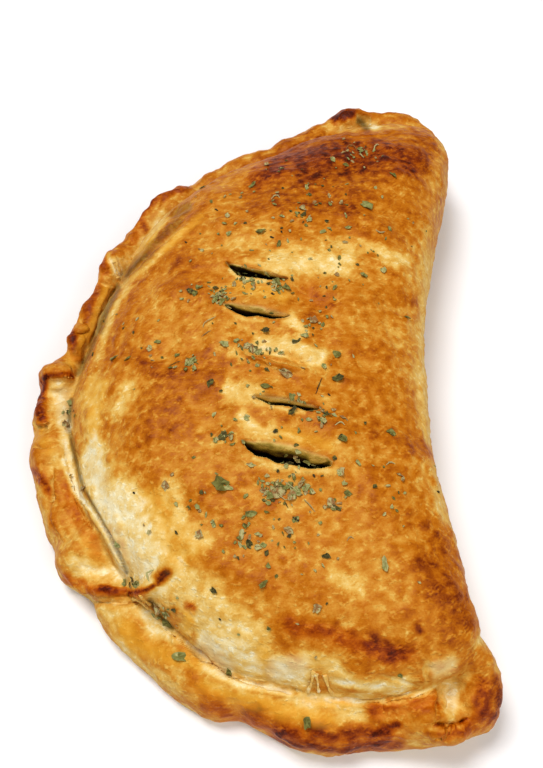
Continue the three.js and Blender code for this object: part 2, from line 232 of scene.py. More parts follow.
# Creases (-) and ridges (+) in the dough: height and half width in mm, then the way they run.
FOLDS = {
    "far rim's lip": (0.8, 1.6, [(200, 186), (160, 198), (141, 214), (131, 238)]),
    "far pocket": (-2.2, 3.4, [(168, 215), (180, 210), (192, 203)]),
    "ridge below the far pocket": (0.8, 1.0, [(168, 222), (175, 225), (182, 220)]),
    "far slot": (
        -2.4, 2.2, [(180, 219), (168, 231), (156, 242), (146, 254), (135, 266), (122, 279)]),
    "dome's lip, far left": (
        0.6, 2.0, [(190, 222), (175, 238), (160, 251), (146, 265), (130, 280)]),
    "pleats at the far left": (1.2, 1.0, [(113, 256), (117, 266), (122, 277)]),
    "groove, far left": (
        -2.8, 1.1, [(120, 284), (112, 298), (106, 310), (101, 326), (94, 340), (89, 352)]),
    "groove, far left's end": (-2.6, 1.1, [(89, 352), (84, 368), (76, 376)]),
    "far knuckle": (1.4, 2.0, [(101, 263), (106, 271)]),
    "crease under the far knuckle": (-1.2, 1.0, [(97, 281), (108, 286)]),
    "crease above the long knuckle": (-2.0, 0.9, [(80, 320), (88, 330), (80, 335)]),
    "long knuckle": (1.6, 2.2, [(72, 337), (77, 359)]),
    "crease beside the long knuckle": (-1.2, 1.0, [(83, 340), (84, 356), (78, 366)]),
    "corner pleat": (2.0, 1.5, [(46, 379), (50, 375), (62, 374), (73, 377)]),
    "hollow behind the corner": (-2.5, 3.5, [(55, 388), (57, 402)]),
    "scorched knuckle": (1.5, 2.5, [(39, 404), (42, 416)]),
    "slit in it": (-1.5, 0.8, [(39, 412), (41, 421)]),
    "crease below it": (-1.9, 0.9, [(36, 425), (44, 427), (52, 421)]),
    "crease above the wide knuckle": (-1.9, 0.9, [(34, 447), (42, 450), (55, 447)]),
    "wide knuckle": (1.3, 3.0, [(37, 458), (42, 470), (48, 486)]),
    "crease beside the band": (-2.0, 1.1, [(52, 468), (53, 485), (54, 500), (52, 514)]),
    "band": (1.5, 4.0, [(64, 478), (68, 500), (82, 520), (98, 545)]),
    "dimple": (-1.6, 1.2, [(53, 514), (54, 524)]),
    "inner lip": (1.0, 0.9, [(66, 462), (78, 495), (98, 520), (112, 545), (126, 574)]),
    "groove, left": (-3.0, 0.9, LEFT_GROOVE),
    "hollow under the band": (-1.0, 2.5, [(76, 563), (92, 572), (110, 572)]),
    "scorched pleat": (
        2.4, 1.5, [(67, 574), (76, 585), (95, 591), (115, 591), (140, 592), (150, 588)]),
    "crease under the pleat": (-2.0, 1.0, [(80, 600), (100, 603), (125, 602), (142, 600)]),
    "groove under the pleat": (
        -3.2, 1.2, [(150, 600), (158, 614), (172, 628), (190, 645), (210, 663)]),
    "near groove": (-2.2, 0.9, [(210, 663), (230, 677), (255, 685), (280, 689), (300, 691)]),
    "near lip": (1.0, 1.0, [(175, 636), (200, 662), (225, 680), (260, 691), (290, 696)]),
    "near groove, right": (-1.0, 0.7, [(330, 698), (360, 700), (395, 697), (425, 690)]),
    "crack at the near right": (-0.8, 0.8, [(426, 665), (427, 684)]),
    "crack beside it": (-0.6, 0.7, [(381, 676), (400, 682), (420, 688)]),
    "edge of the last fold": (0.8, 1.2, [(383, 705), (409, 701), (434, 687)]),
    "line of the last fold": (-1.0, 1.3, [(436, 690), (439, 716)]),
    "third slash": (-2.4, 2.6, [(244, 348), (262, 349), (285, 353), (302, 360), (316, 364)]),
    "third slash's near lip": (1.7, 1.2, [(242, 355), (262, 361), (285, 368), (304, 371)]),
    "third slash's slit": (-3.0, 0.8, [(246, 352), (258, 355), (272, 357), (284, 361)]),
    "far crest line": (-0.6, 1.0, [(287, 150), (301, 146)]),
    "blister": (1.0, 2.0, [(189, 604), (191, 607)]),
    "crease over the lower lip": (-2.2, 1.0, [(434, 722), (446, 725), (458, 723), (468, 717)]),
    "lower lip": (1.2, 1.8, [(430, 731), (446, 734), (462, 729)]),
    "crease in the pocket": (-0.7, 0.7, [(444, 690), (447, 703), (445, 712)]),
}

# Edges of dough that lie over other dough: height and reach in mm, then the way they run, with
# the upper dough below a way that runs to the right, and left of one that runs down.
LEDGES = {
    "rim over the left groove": (
        1.3, 4, [(64, 440), (66, 462), (78, 495), (98, 520), (112, 545), (125, 572)]),
    "dome over the left groove": (
        0.6, 4, [(131, 572), (116, 540), (98, 512), (84, 484), (77, 455), (74, 425)]),
    "rim over the near groove": (
        1.5, 4, [(155, 622), (175, 638), (200, 662), (225, 680), (260, 691), (296, 696)]),
    "rim over the near groove, right": (1.3, 4, [(330, 700), (356, 704), (383, 703)]),
    "last fold": (1.5, 4, [(383, 704), (409, 701), (422, 696), (434, 686)]),
    "last fold's side": (1.2, 3.5, [(435, 686), (436, 700), (434, 712), (433, 722)]),
    "lower lip of the tip": (1.4, 4, [(433, 725), (445, 728), (456, 727), (468, 720)]),
    "corner": (2.2, 5, [(74, 378), (62, 375), (50, 376), (44, 381)]),
    "scorched pleat": (1.6, 5, [(148, 590), (125, 594), (97, 593), (77, 588), (67, 578)]),
    "scorched knuckle": (1.4, 4, [(54, 421), (45, 427), (36, 426)]),
    "wide knuckle": (1.2, 5, [(33, 448), (42, 450), (56, 447)]),
    "band's outer side": (1.4, 5, [(66, 545), (54, 520), (55, 500), (53, 485), (55, 468)]),
    "dome at the far slot": (0.8, 3, [(126, 281), (150, 256), (172, 236), (190, 222)]),
    "rim at the far slot": (1.0, 3, [(180, 204), (160, 226), (148, 243), (124, 270)]),
    "dome, far left": (1.2, 4, [(74, 406), (86, 380), (100, 337), (118, 292)]),
    "rim, far left": (1.2, 4, [(112, 284), (100, 306), (92, 330), (84, 352)]),
    "long knuckle": (1.4, 4, [(84, 336), (80, 350), (82, 366)]),
    "crease over the long knuckle": (1.2, 3, [(88, 330), (80, 333), (70, 335)]),
    "far tip": (0.9, 4, [(398, 130), (387, 135), (345, 137), (300, 139)]),
}
# How far folds and ledges reach, in half widths, how soon they come to their full height from
# their ends, and how much of it they have at the very end.
FOLD_SHAPE = (3, 4, 0.25)
LEDGE_SHAPE = (2.5, 5, 0)
LEDGE_RISES = (-0.8, 0.8)  # pixels across a ledge's line
# Cosines to the camera between which folds and strokes of the brush come to their full.
FOLDS_FACE = (0.0, 0.45)
STROKES_FACE = (-0.1, 0.2)

RIM_STREAKS = (0.35, 3.2, 2.4)  # height in mm, width in mm, how many times longer than wide
RIM_PLEATS = (0.7, 7.0, 3)  # height and width in mm, how many times longer than wide
RIM_BEGINS = (-9, -5)  # mm out from the rim's middle line, where its streaks and pleats set in
LUMPINESS = [(1.3, 26), (0.7, 11), (0.4, 5), (0.2, 2.6)]  # height and size in mm, of uneven dough
BLISTERS = [(0.8, 7, 0.35), (0.4, 3.2, 0.5)]  # height, spacing in mm, and share of places with one
BLISTER_RADIUS = (0.25, 0.7)  # in spacings
BLISTER_HEIGHT = (0.3, 1)  # in heights
ROUGH_FROM = (1.5, 6)  # mm above the floor, where all of these set in

# The seam behind the near lip, which is smoothed over: its line, reach in mm, and how many times.
SEAM = [(308, 692), (335, 696), (360, 699), (395, 697), (425, 690)]
SEAM_SMOOTHING = (7, 70)
EDGE_ROUNDING = (3.2, 24)  # the same for the slashes' far edges
SMOOTHING = 0.5  # how far a point moves towards its neighbours' mean each time
SMOOTHED_WHOLE = 0.4  # share of the reach within which it moves all that way
PATH_STEP = 3  # pixels between the rays that cast a line onto the dough
REFINE_REACH = 3.5  # mm from a fold within which the mesh is twice as fine
SLASH_REFINE_REACH = 2.2  # mm from a slash's edges within which it is twice as fine again

# Browning where no stroke reaches: tone from 0 (floury) to 1 (scorched), how much its patches
# change that, and their size in mm.
PLAIN_TOAST = (0.5, 0.13, 26)
FOLD_TOAST = (0.42, 0.12, 15)
SOLE_TOAST = (0.28, 0.25, 12)
TOP_TOAST = 0.12  # how much browner the dough is near its top
TOP_BEGINS = (20, 45)  # mm above the floor
SOLE_ENDS = (1, 9)  # mm above the floor
FOLD_TURNS = (0.3, 0.8)  # cosines to +X between which the dough belongs to the fold's side
FOLD_LIES = (30, 50)  # mm towards +X, likewise
MOTTLES = [(0.05, 9), (0.06, 4), (0.05, 2.2)]  # how much browner, and their size in mm
RIM_STREAK_TOAST = 0.06  # how much browner the streaks along the rim are
CREST_TOAST = 0.1  # how much browner the crests of wrinkles and blisters are
CREST_HEIGHT = 0.03  # mm over their neighbours, at which they have most of that

WANDER = [(9, 17), (5, 7)]  # how far the brush wanders, in pixels, and on waves of how many mm
WANDER_FROM = 13  # half width in pixels from which it wanders that far
WANDER_CURVE = 1.5  # how much less narrower strokes wander
RAGGED = [(1, 4.5), (0.7, 2.2)]  # how ragged its strokes are, and on waves of how many mm
RAGGED_SHARE = 0.25  # half widths to each 1 of that
STROKE_FADES = (0.2, 1.5)  # half widths from its way, where a stroke fades and ends
STROKE_REACH = 1.7  # half widths round its way, in which points are looked for

# The first seed of each layer of noise.
SEEDS = {
    "wander": (21, 23), "ragged": 25, "mottles": 31, "lumpiness": 41, "blisters": 51,
    "plain": 51, "fold": 52, "sole": 53, "streaks": 61, "pleats": 62, "strands": 2,
}

# Browning, with some strokes that paint shade or highlight instead, as marked: tone from 0 (floury)
# to 1 (scorched), half width in pixels, share, and its way.
BROWNING_AND_PAINTED_LIGHT = {
    "left flank, far": (0.66, 22, 0.9, [(170, 255), (140, 300), (115, 345)]),
    "centre, near": (0.55, 40, 0.8, [(290, 530), (340, 560)]),
    "far crest": (0.84, 26, 1, [(285, 168), (330, 155), (380, 152), (415, 165)]),
    "far crest's left slope": (0.61, 16, 0.9, [(215, 190), (245, 178), (275, 165)]),
    "far edge right of the crest": (0.78, 10, 0.8, [(400, 135), (430, 150)]),
    "crest's darkest ridge": (0.93, 9, 0.9, [(255, 183), (285, 160), (320, 152), (355, 148)]),
    "crest's second ridge": (0.94, 8, 0.8, [(300, 175), (345, 175), (375, 160)]),
    "dark right of the crest": (0.86, 12, 0.8, [(405, 160), (430, 165)]),
    "below the crest": (0.78, 16, 0.9, [(250, 200), (300, 195), (345, 205), (375, 195)]),
    "dark below the crest": (0.90, 9, 0.7, [(318, 205), (345, 212)]),
    "right below the crest": (0.66, 20, 0.9, [(385, 195), (420, 200)]),
    "mottled slope": (0.68, 16, 0.9, [(270, 225), (330, 228), (400, 235)]),
    "pale left of the first slash": (0.46, 14, 0.9, [(235, 245), (262, 228)]),
    "pillow": (0.24, 14, 1, [(275, 262), (310, 262), (345, 268)]),
    "pillow's golden top": (0.38, 12, 0.8, [(290, 248), (350, 248), (400, 258)]),
    "pale pillow, right": (0.30, 8, 0.8, [(378, 252), (405, 262)]),
    "orange spot on the pillow": (0.62, 7, 0.8, [(362, 254), (372, 260)]),
    "between the first slashes": (0.54, 8, 0.9, [(232, 284), (280, 292)]),
    "right flank, far": (0.60, 24, 0.9, [(350, 300), (395, 300)]),
    "reddish right of the second slash": (0.74, 13, 1, [(308, 292), (322, 306)]),
    "ridge right of the first slash": (0.55, 8, 0.8, [(290, 283), (340, 283)]),
    "orange on the right flank": (0.70, 8, 0.9, [(380, 295), (412, 300)]),
    "right flank": (0.55, 24, 0.9, [(345, 335), (400, 345)]),
    "below the second slash": (0.54, 10, 0.8, [(210, 325), (285, 328)]),
    "cream right of the second slash": (0.22, 8, 0.9, [(290, 318), (300, 330)]),
    "third slash": (0.17, 10, 1, [(258, 345), (290, 350), (318, 360)]),
    "yellow left of the third slash": (0.40, 9, 0.8, [(222, 340), (240, 352)]),
    "brown right of the third slash": (0.67, 14, 0.95, [(350, 350), (385, 358)]),
    "yellow below the third slash": (0.56, 7, 0.7, [(300, 366), (325, 372)]),
    "between third and fourth": (0.62, 10, 0.8, [(235, 372), (290, 380)]),
    "reddish streak": (0.75, 6, 0.7, [(290, 378), (316, 388)]),
    "cream left of the fourth slash": (
        0.28, 12, 1, [(232, 392), (252, 400), (240, 420), (262, 428)]),
    "orange in the cream": (0.68, 7, 0.9, [(248, 410), (262, 420)]),
    "above the fifth slash": (0.68, 9, 0.9, [(285, 425), (325, 432)]),
    "right of the fourth slash": (0.36, 8, 0.8, [(325, 400), (345, 405)]),
    "right flank, near middle": (0.66, 26, 0.9, [(360, 400), (400, 410)]),
    "dark spots on the right flank": (0.73, 10, 0.9, [(375, 430), (405, 440), (428, 455)]),
    "strip on the right flank": (0.68, 7, 0.8, [(355, 365), (395, 380)]),
    "right of the fifth slash": (0.47, 12, 0.8, [(335, 440), (350, 462)]),
    "lip below the fifth slash": (0.43, 5, 0.9, [(262, 466), (300, 472), (335, 470)]),
    "brown at the far left": (0.66, 9, 0.9, [(205, 205), (190, 240), (180, 260)]),
    "spots at the far left": (0.76, 8, 0.8, [(178, 262), (195, 270)]),
    "speckled left": (0.57, 18, 0.8, [(150, 300), (165, 330)]),
    "pale specks, left": (0.54, 8, 0.7, [(140, 315), (160, 300)]),
    "brown left of the slashes": (0.73, 14, 1, [(115, 348), (160, 368), (205, 365)]),
    "dark streak on the left": (0.80, 8, 0.9, [(150, 372), (190, 375)]),
    "brown on the left": (0.72, 18, 1, [(165, 395), (172, 420), (150, 440)]),
    "darkest on the left": (0.78, 7, 0.8, [(130, 448), (150, 455)]),
    "brown, lower left": (0.61, 14, 0.9, [(130, 470), (165, 450)]),
    "golden edge, left": (0.34, 10, 0.9, [(100, 385), (92, 410), (90, 430)]),
    "cream patch in the brown": (0.33, 10, 0.9, [(128, 392), (118, 410)]),
    "cream, left": (0.14, 14, 1, [(95, 440), (92, 480), (110, 510)]),
    "belly": (0.12, 26, 1, [(120, 500), (140, 540), (165, 575)]),
    "yellow over the belly": (0.30, 14, 0.9, [(170, 490), (180, 520), (200, 545)]),
    "cream, lower left": (0.27, 22, 1, [(180, 580), (210, 610), (250, 640)]),
    "left of the fifth slash": (0.57, 14, 0.9, [(195, 460), (230, 440)]),
    "brown below the fifth slash": (0.66, 16, 0.9, [(200, 500), (240, 480), (270, 490)]),
    "orange crescent": (0.61, 8, 0.9, [(215, 550), (235, 530), (260, 520)]),
    "pinkish brown": (0.68, 12, 0.8, [(250, 575), (285, 570)]),
    "cream spot, near right": (0.35, 9, 0.9, [(335, 575), (360, 590)]),
    "pale specks, near": (0.54, 7, 0.8, [(275, 605), (345, 615)]),
    "right flank, near": (0.64, 26, 0.9, [(370, 500), (420, 560)]),
    "brown edge": (0.77, 14, 0.9, [(415, 520), (450, 560), (470, 620)]),
    "dark shoulder": (0.83, 14, 1, [(425, 560), (440, 590), (455, 620)]),
    "near face": (0.14, 16, 1, [(205, 640), (250, 665), (300, 672)]),
    "near face, middle": (0.34, 12, 1, [(300, 660), (340, 668)]),
    "near face, yellow": (0.36, 8, 0.9, [(262, 650), (268, 672)]),
    "near face, right": (0.20, 9, 1, [(345, 682), (400, 686)]),
    "brown band over the near face": (0.76, 9, 1, [(280, 620), (325, 630), (370, 650)]),
    "band's right half": (0.91, 13, 1, [(370, 640), (400, 650), (410, 655)]),
    "rim's band, darkest": (0.88, 4, 0.9, [(58, 495), (66, 508), (76, 520)]),
    "dark spot over the band": (0.88, 4, 0.9, [(417, 625), (420, 632)]),
    "orange fringe": (0.65, 8, 0.9, [(350, 664), (400, 668), (425, 655)]),
    "right flank, near end": (0.66, 14, 0.9, [(440, 640), (470, 670)]),
    "pale by the crack": (0.32, 11, 0.9, [(436, 672), (450, 666)]),
    "blister": (0.68, 6, 1, [(189, 605), (191, 606)]),
    "streak below the blister": (0.38, 5, 0.9, [(188, 612), (186, 630)]),
    "far rim": (0.78, 7, 0.9, [(185, 185), (155, 198), (140, 212)]),
    "far rim, inside": (0.36, 6, 0.9, [(165, 215), (150, 235), (125, 260)]),
    "far rim, left": (0.66, 6, 0.9, [(140, 215), (130, 240), (115, 250)]),
    "red knuckle": (0.82, 4, 0.9, [(143, 222), (147, 232)]),
    "far knuckle": (0.74, 5, 0.9, [(103, 262), (106, 272)]),
    "pleats at the far left": (0.16, 5, 0.9, [(113, 262), (118, 275)]),
    "rim, upper left": (0.76, 6, 0.9, [(98, 290), (90, 300), (88, 318)]),
    "rim, upper left, inside": (0.36, 5, 0.9, [(106, 300), (96, 330)]),
    "long knuckle": (0.84, 6, 1, [(73, 336), (77, 358)]),
    "below the long knuckle": (0.49, 5, 0.9, [(62, 366), (78, 362)]),
    "corner": (0.86, 3.5, 1, [(46, 376), (62, 374), (72, 377)]),
    "corner's outside": (0.90, 5, 1, [(44, 380), (43, 398)]),
    "inner wall": (0.26, 8, 1, [(58, 385), (62, 410), (66, 430)]),
    "scorched knuckle": (0.82, 7, 1, [(38, 403), (44, 418)]),
    "slit in it": (0.87, 3, 0.9, [(40, 408), (41, 419)]),
    "below it": (0.56, 8, 0.9, [(42, 428), (45, 446)]),
    "wide knuckle": (0.60, 8, 1, [(35, 455), (45, 462)]),
    "wide knuckle's streak": (0.82, 5, 0.9, [(35, 470), (48, 490)]),
    "outer flank": (0.44, 7, 1, [(36, 490), (44, 530), (56, 560)]),
    "beside the band": (0.36, 5, 0.8, [(55, 450), (62, 470)]),
    "band": (0.52, 13, 1, [(66, 490), (75, 520), (92, 545), (105, 565)]),
    "band's ridge": (0.61, 8, 1, [(62, 475), (64, 500), (80, 520)]),
    # The pale inner lip: partly paler dough, partly a painted highlight along its lit edge.
    "inner lip": (0.10, 4.5, 1, [(66, 462), (78, 495), (98, 520), (112, 545), (125, 572)]),
    "rim's inner edge, left": (0.22, 5, 1, [(62, 428), (66, 448), (72, 470)]),
    "dimple": (0.67, 4, 0.9, [(53, 515), (54, 524)]),
    "under the band": (0.22, 7, 1, [(72, 562), (90, 572), (120, 572)]),
    "scorched pleat": (0.65, 6, 1, [(68, 578), (90, 590), (125, 592)]),
    "pleat's darkest": (0.90, 4, 1, [(102, 588), (114, 590)]),
    "scorched tail": (0.84, 2.6, 1, [(130, 593), (146, 590), (157, 584)]),
    "scorched knob": (0.97, 6.5, 1, [(162, 579), (168, 573)]),
    "under the pleat": (0.32, 13, 1, [(95, 607), (125, 614), (150, 622)]),
    "cream rim": (0.22, 7, 1, [(150, 622), (175, 638)]),
    "orange blotches": (0.54, 12, 1, [(130, 634), (146, 650), (160, 652)]),
    "cream between them": (0.24, 5, 0.9, [(118, 640), (135, 662), (160, 680)]),
    "orange spots": (0.69, 4, 0.8, [(131, 628), (140, 640)]),
    "outer edge, near left": (0.35, 6, 0.9, [(145, 668), (175, 690)]),
    "by the leaf": (0.58, 8, 0.9, [(175, 650), (190, 665)]),
    "brown diagonal": (0.68, 7, 1, [(192, 675), (200, 690), (215, 700)]),
    "front, left": (0.68, 10, 1, [(205, 705), (250, 715), (275, 725)]),
    # The pale near lips: partly paler dough, partly a painted highlight where their edges catch the
    # light.
    "near lip": (0.06, 5, 1, [(205, 668), (240, 684), (290, 694)]),
    "near lip, right": (0.14, 5, 1, [(300, 697), (345, 702), (380, 702)]),
    "golden top": (0.45, 6, 0.9, [(215, 690), (270, 700)]),
    "spots on the front, left": (0.84, 5, 0.9, [(245, 712), (258, 708)]),
    "front": (0.80, 12, 1, [(280, 728), (330, 735), (390, 735)]),
    # The front's lower edge: darker as painted shade under the rim.
    "front's lower edge": (0.88, 6, 0.9, [(270, 742), (340, 750), (400, 744)]),
    "front, dark spot": (0.98, 4, 0.9, [(280, 734), (284, 732)]),
    "front, dark spot, right": (0.98, 5, 0.9, [(375, 735), (398, 727)]),
    "yellow under the strands": (0.24, 7, 1, [(300, 700), (345, 704)]),
    "golden right of the strands": (0.31, 7, 0.9, [(345, 712), (375, 708)]),
    "last fold": (0.66, 9, 1, [(375, 712), (410, 712), (430, 705)]),
    "last fold's line": (0.66, 3, 0.9, [(434, 690), (438, 718)]),
    "pocket": (0.26, 9, 1, [(448, 690), (450, 712)]),
    "pocket's right": (0.55, 7, 0.9, [(465, 690), (462, 715)]),
    "near knob": (0.76, 13, 1, [(485, 690), (485, 712)]),
    "near knob's darkest": (0.82, 7, 0.8, [(478, 705), (490, 710)]),
    "lower lip": (0.74, 6, 1, [(430, 732), (460, 732), (475, 725)]),
    "tip's edge": (0.86, 6, 0.9, [(497, 680), (500, 710)]),
    "far tip": (0.45, 9, 1, [(335, 128), (375, 128), (410, 128)]),
    "far tip's rim": (0.59, 5, 1, [(365, 114), (390, 116), (415, 124)]),
    "far knob": (0.94, 6, 1, [(336, 118), (352, 112)]),
    "far hole's wall": (0.12, 5, 1, [(374, 127), (378, 132)]),
    "far crest's edge": (0.76, 4, 0.9, [(320, 136), (370, 136), (410, 131), (430, 140)]),
    "dome's edge, far left": (0.30, 4, 0.8, [(130, 286), (113, 312), (104, 335), (97, 360)]),
    "fold side, far": (0.56, 9, 1, [(442, 165), (440, 200), (434, 240)]),
    "fold side": (0.34, 6, 1, [(430, 265), (426, 300), (424, 330), (422, 380), (430, 430)]),
    "edge of the last fold": (0.30, 2.5, 1, [(386, 704), (409, 700), (434, 686)]),
    # A dark line in the crease over the lower lip: painted shade.
    "crease over the lower lip": (0.84, 2, 1, [(436, 724), (448, 726), (458, 724), (467, 718)]),
    "lower lip's edge": (0.42, 3, 0.9, [(430, 729), (446, 731), (462, 727)]),
    "dome's lip, far left": (
        0.36, 4, 0.8, [(184, 230), (170, 242), (155, 256), (142, 270), (124, 286)]),
    "far slot's outer wall": (0.34, 4, 1, [(163, 222), (148, 236), (134, 252), (120, 268)]),
    # Paler tone along the slashes' lips and far edges: painted highlight where their rounded edges
    # catch the light.
    "first slash's near lip": (0.30, 2.6, 1, [(230, 270), (238, 278), (250, 280), (264, 281)]),
    "second slash's near lip": (0.38, 2.2, 0.7, [(224, 308), (236, 316), (248, 320), (264, 320)]),
    "fourth slash's near lip": (0.34, 2.6, 0.9, [(262, 404), (284, 409), (304, 413)]),
    "fifth slash's near lip": (0.34, 3, 0.8, [(254, 458), (275, 466), (300, 471), (328, 471)]),
    "fifth slash's far edge": (0.34, 3, 0.9, [(256, 433), (280, 433), (300, 440)]),
    "first slash's far edge": (0.36, 3, 0.9, [(246, 261), (262, 263), (280, 272)]),
    # The third slash's slit: a painted shadow line under its near lip.
    "third slash's slit": (0.52, 1.8, 1, [(246, 353), (262, 358), (284, 364), (302, 369)]),
}

# Where oil and herbs soaked into the dough, and where its dark olive also paints the shade in
# grooves, slots and hollows: half width, share, and its way.
OIL_AND_PAINTED_SHADE = {
    "far pocket": (5, 0.45, [(174, 214), (187, 207)]),
    "far pocket's bottom": (3, 0.5, [(178, 215), (186, 211)]),
    "far slot": (5, 0.5, [(178, 221), (160, 238), (148, 252), (134, 267), (124, 278)]),
    "far slot's bottom": (3, 0.8, [(146, 255), (137, 263), (127, 276)]),
    "groove, far left": (4, 0.8, [(118, 288), (106, 310), (99, 330)]),
    "groove, far left, end": (3, 0.7, [(96, 334), (88, 355), (78, 374)]),
    "groove, left": (2.2, 0.8, LEFT_GROOVE),
    "groove under the pleat": (3, 0.9, [(150, 600), (160, 616), (172, 628)]),
    "far hole": (4, 0.9, [(360, 121), (367, 129)]),
    "fourth slash": (4, 0.4, [(265, 397), (300, 404)]),
}
# Where flour shows grey on the unbrowned dough, and where the grey also paints shade: along the
# dome's edge by the groove, in the pocket and on the near face.
FLOUR_AND_PAINTED_SHADE = {
    "near face, left": (9, 0.8, [(203, 644), (225, 668)]),
    "near face, middle": (10, 0.8, [(275, 668), (300, 665)]),
    "by the crack": (8, 0.5, [(436, 671), (450, 667)]),
    "belly's edge": (8, 0.6, [(92, 450), (118, 545), (142, 568)]),
    "pocket": (5, 0.7, [(450, 698), (452, 704)]),
    "inner wall": (7, 0.6, [(62, 395), (66, 425)]),
}
# Where the browning is redder.
REDDENED = {
    "front": (12, 0.6, [(215, 712), (265, 730), (330, 738), (400, 738)]),
    "front, left": (8, 0.4, [(195, 690), (230, 705), (270, 715)]),
    "last fold": (9, 0.8, [(375, 712), (430, 702)]),
    "band": (10, 0.7, [(290, 625), (370, 648), (410, 655)]),
    "near knob": (12, 0.6, [(485, 690), (480, 715), (450, 735)]),
    "wide knuckle": (6, 0.5, [(35, 468), (48, 490)]),
    "band of the rim": (7, 0.5, [(64, 490), (78, 525), (95, 550)]),
    "corner": (5, 0.7, [(44, 395), (46, 378), (70, 375)]),
    "scorched knuckle": (6, 0.6, [(36, 402), (44, 418)]),
    "scorched pleat": (5, 0.8, [(67, 578), (100, 590), (140, 592)]),
    "far knob": (6, 0.6, [(336, 118), (352, 112)]),
    "crest": (14, 0.4, [(255, 180), (290, 160), (360, 152), (415, 165)]),
    "right of the second slash": (11, 0.3, [(308, 292), (322, 306)]),
    "long knuckle": (5, 0.6, [(73, 336), (77, 358)]),
    "far rim": (5, 0.5, [(182, 186), (150, 202), (133, 240)]),
    "rim, upper left": (5, 0.5, [(106, 262), (96, 285), (88, 315)]),
    "blister": (6, 0.8, [(189, 605), (191, 606)]),
}
# Where the crust is a clear yellow.
BUTTERY = {
    "between the first slashes": (8, 0.45, [(235, 286), (280, 296)]),
    "dome's edge, far left": (5, 0.5, [(200, 218), (182, 232), (165, 250)]),
    "far rim, inside": (5, 0.5, [(150, 240), (130, 262)]),
    "rim, upper left": (5, 0.7, [(106, 290), (94, 326), (70, 364)]),
    "golden edge, left": (9, 0.5, [(100, 385), (92, 410), (90, 430)]),
    "streak below the blister": (5, 0.8, [(188, 612), (186, 630)]),
    "near face": (7, 0.6, [(262, 650), (268, 672)]),
    "under the strands": (6, 0.7, [(305, 700), (345, 706)]),
    "belly": (16, 0.4, [(150, 500), (190, 560)]),
    "by the leaf": (8, 0.6, [(170, 652), (195, 668)]),
    "near the fifth slash": (8, 0.5, [(285, 436), (325, 445)]),
    "orange blotches": (11, 0.7, [(122, 632), (145, 650), (178, 657)]),
    "front, left": (9, 0.7, [(200, 688), (260, 705), (330, 722)]),
    "under the wide knuckle": (7, 0.5, [(40, 435), (48, 447)]),
    "band": (8, 0.4, [(85, 545), (100, 560)]),
}


# ------------------------------------------------------------------ curves, noise and mesh code

def curve(rows, t, closed=False):
    """A smooth curve through rows of numbers, read at each t from 0 to 1."""
    rows = np.array(rows, float)
    if closed:
        rows = np.vstack([rows[-1:], rows, rows[:2]])
    else:
        rows = np.vstack([2 * rows[0] - rows[1], rows, 2 * rows[-1] - rows[-2]])
    spans = len(rows) - 3
    place = np.asarray(t, float) * spans
    span = np.clip(place.astype(int), 0, spans - 1)
    share = (place - span)[:, None]
    before, start, end, after = (rows[span + i] for i in range(4))
    leave = (end - before) / 2
    arrive = (after - start) / 2
    cubic = 2 * start - 2 * end + leave + arrive
    square = 3 * end - 3 * start - 2 * leave - arrive
    return start + share * (leave + share * (square + share * cubic))


def smoothstep(value, low, high):
    share = np.clip((value - low) / (high - low), 0, 1)
    return share * share * (3 - 2 * share)


def lerp(low, high, share):
    return low + (high - low) * share


def hash_corners(corners, table):
    """A number from 0 to 255 for each corner of a lattice, the same each run."""
    wrapped = corners & 255
    return table[(table[(table[wrapped[:, 0]] + wrapped[:, 1]) & 255] + wrapped[:, 2]) & 255]


def noise(points, wavelength, seed):
    """Smooth noise of about -1 to 1, whose waves are one wavelength (mm) long."""
    rng = np.random.default_rng(seed)
    table = rng.permutation(256)
    slopes = rng.normal(size=(256, 3))
    slopes /= np.linalg.norm(slopes, axis=1)[:, None]
    scaled = points / wavelength
    base = np.floor(scaled).astype(int)
    part = scaled - base
    fade = part**3 * (part * (part * 6 - 15) + 10)
    total = np.zeros(len(points))
    for step in itertools.product((0, 1), repeat=3):
        weight = np.where(np.array(step, bool), fade, 1 - fade).prod(axis=1)
        slope = slopes[hash_corners(base + step, table)]
        total += weight * ((part - step) * slope).sum(axis=1)
    return 1.5 * total


def layers(points, rows, seed):
    """The sum of several noises, each row a height and a wavelength (mm)."""
    return sum(height * noise(points, size, seed + i) for i, (height, size) in enumerate(rows))


def blisters(points, spacing, seed, share):
    """Round bumps of 0 to 1, at most one to each cell of a lattice of that spacing (mm)."""
    rng = np.random.default_rng(seed)
    table = rng.permutation(256)
    shift = rng.random((256, 3))
    radius = spacing * rng.uniform(*BLISTER_RADIUS, 256)
    height = rng.uniform(*BLISTER_HEIGHT, 256) * (rng.random(256) < share)
    cell = np.floor(points / spacing).astype(int)
    most = np.zeros(len(points))
    for step in itertools.product((-1, 0, 1), repeat=3):
        key = hash_corners(cell + step, table)
        arm = points - (cell + step + shift[key]) * spacing
        near = np.clip(1 - (arm**2).sum(axis=1) / radius[key] ** 2, 0, 1)
        most = np.maximum(most, height[key] * near**1.5)
    return most


def ball(around, along):
    """The points and faces of a unit ball, its poles on Z."""
    down, turn = np.meshgrid(
        np.arange(1, along) * math.pi / along,
        np.arange(around) * 2 * math.pi / around,
        indexing="ij",
    )
    rings = np.stack([np.sin(down) * np.cos(turn), np.sin(down) * np.sin(turn), np.cos(down)], -1)
    points = np.vstack([rings.reshape(-1, 3), [(0, 0, 1), (0, 0, -1)]])
    faces = []
    north = len(points) - 2
    last = (along - 2) * around
    for j in range(around):
        k = (j + 1) % around
        faces.append((north, j, k))
        faces.append((north + 1, last + k, last + j))
        for i in range(along - 2):
            upper = i * around
            lower = upper + around
            faces.append((upper + j, lower + j, lower + k, upper + k))
    return points, faces


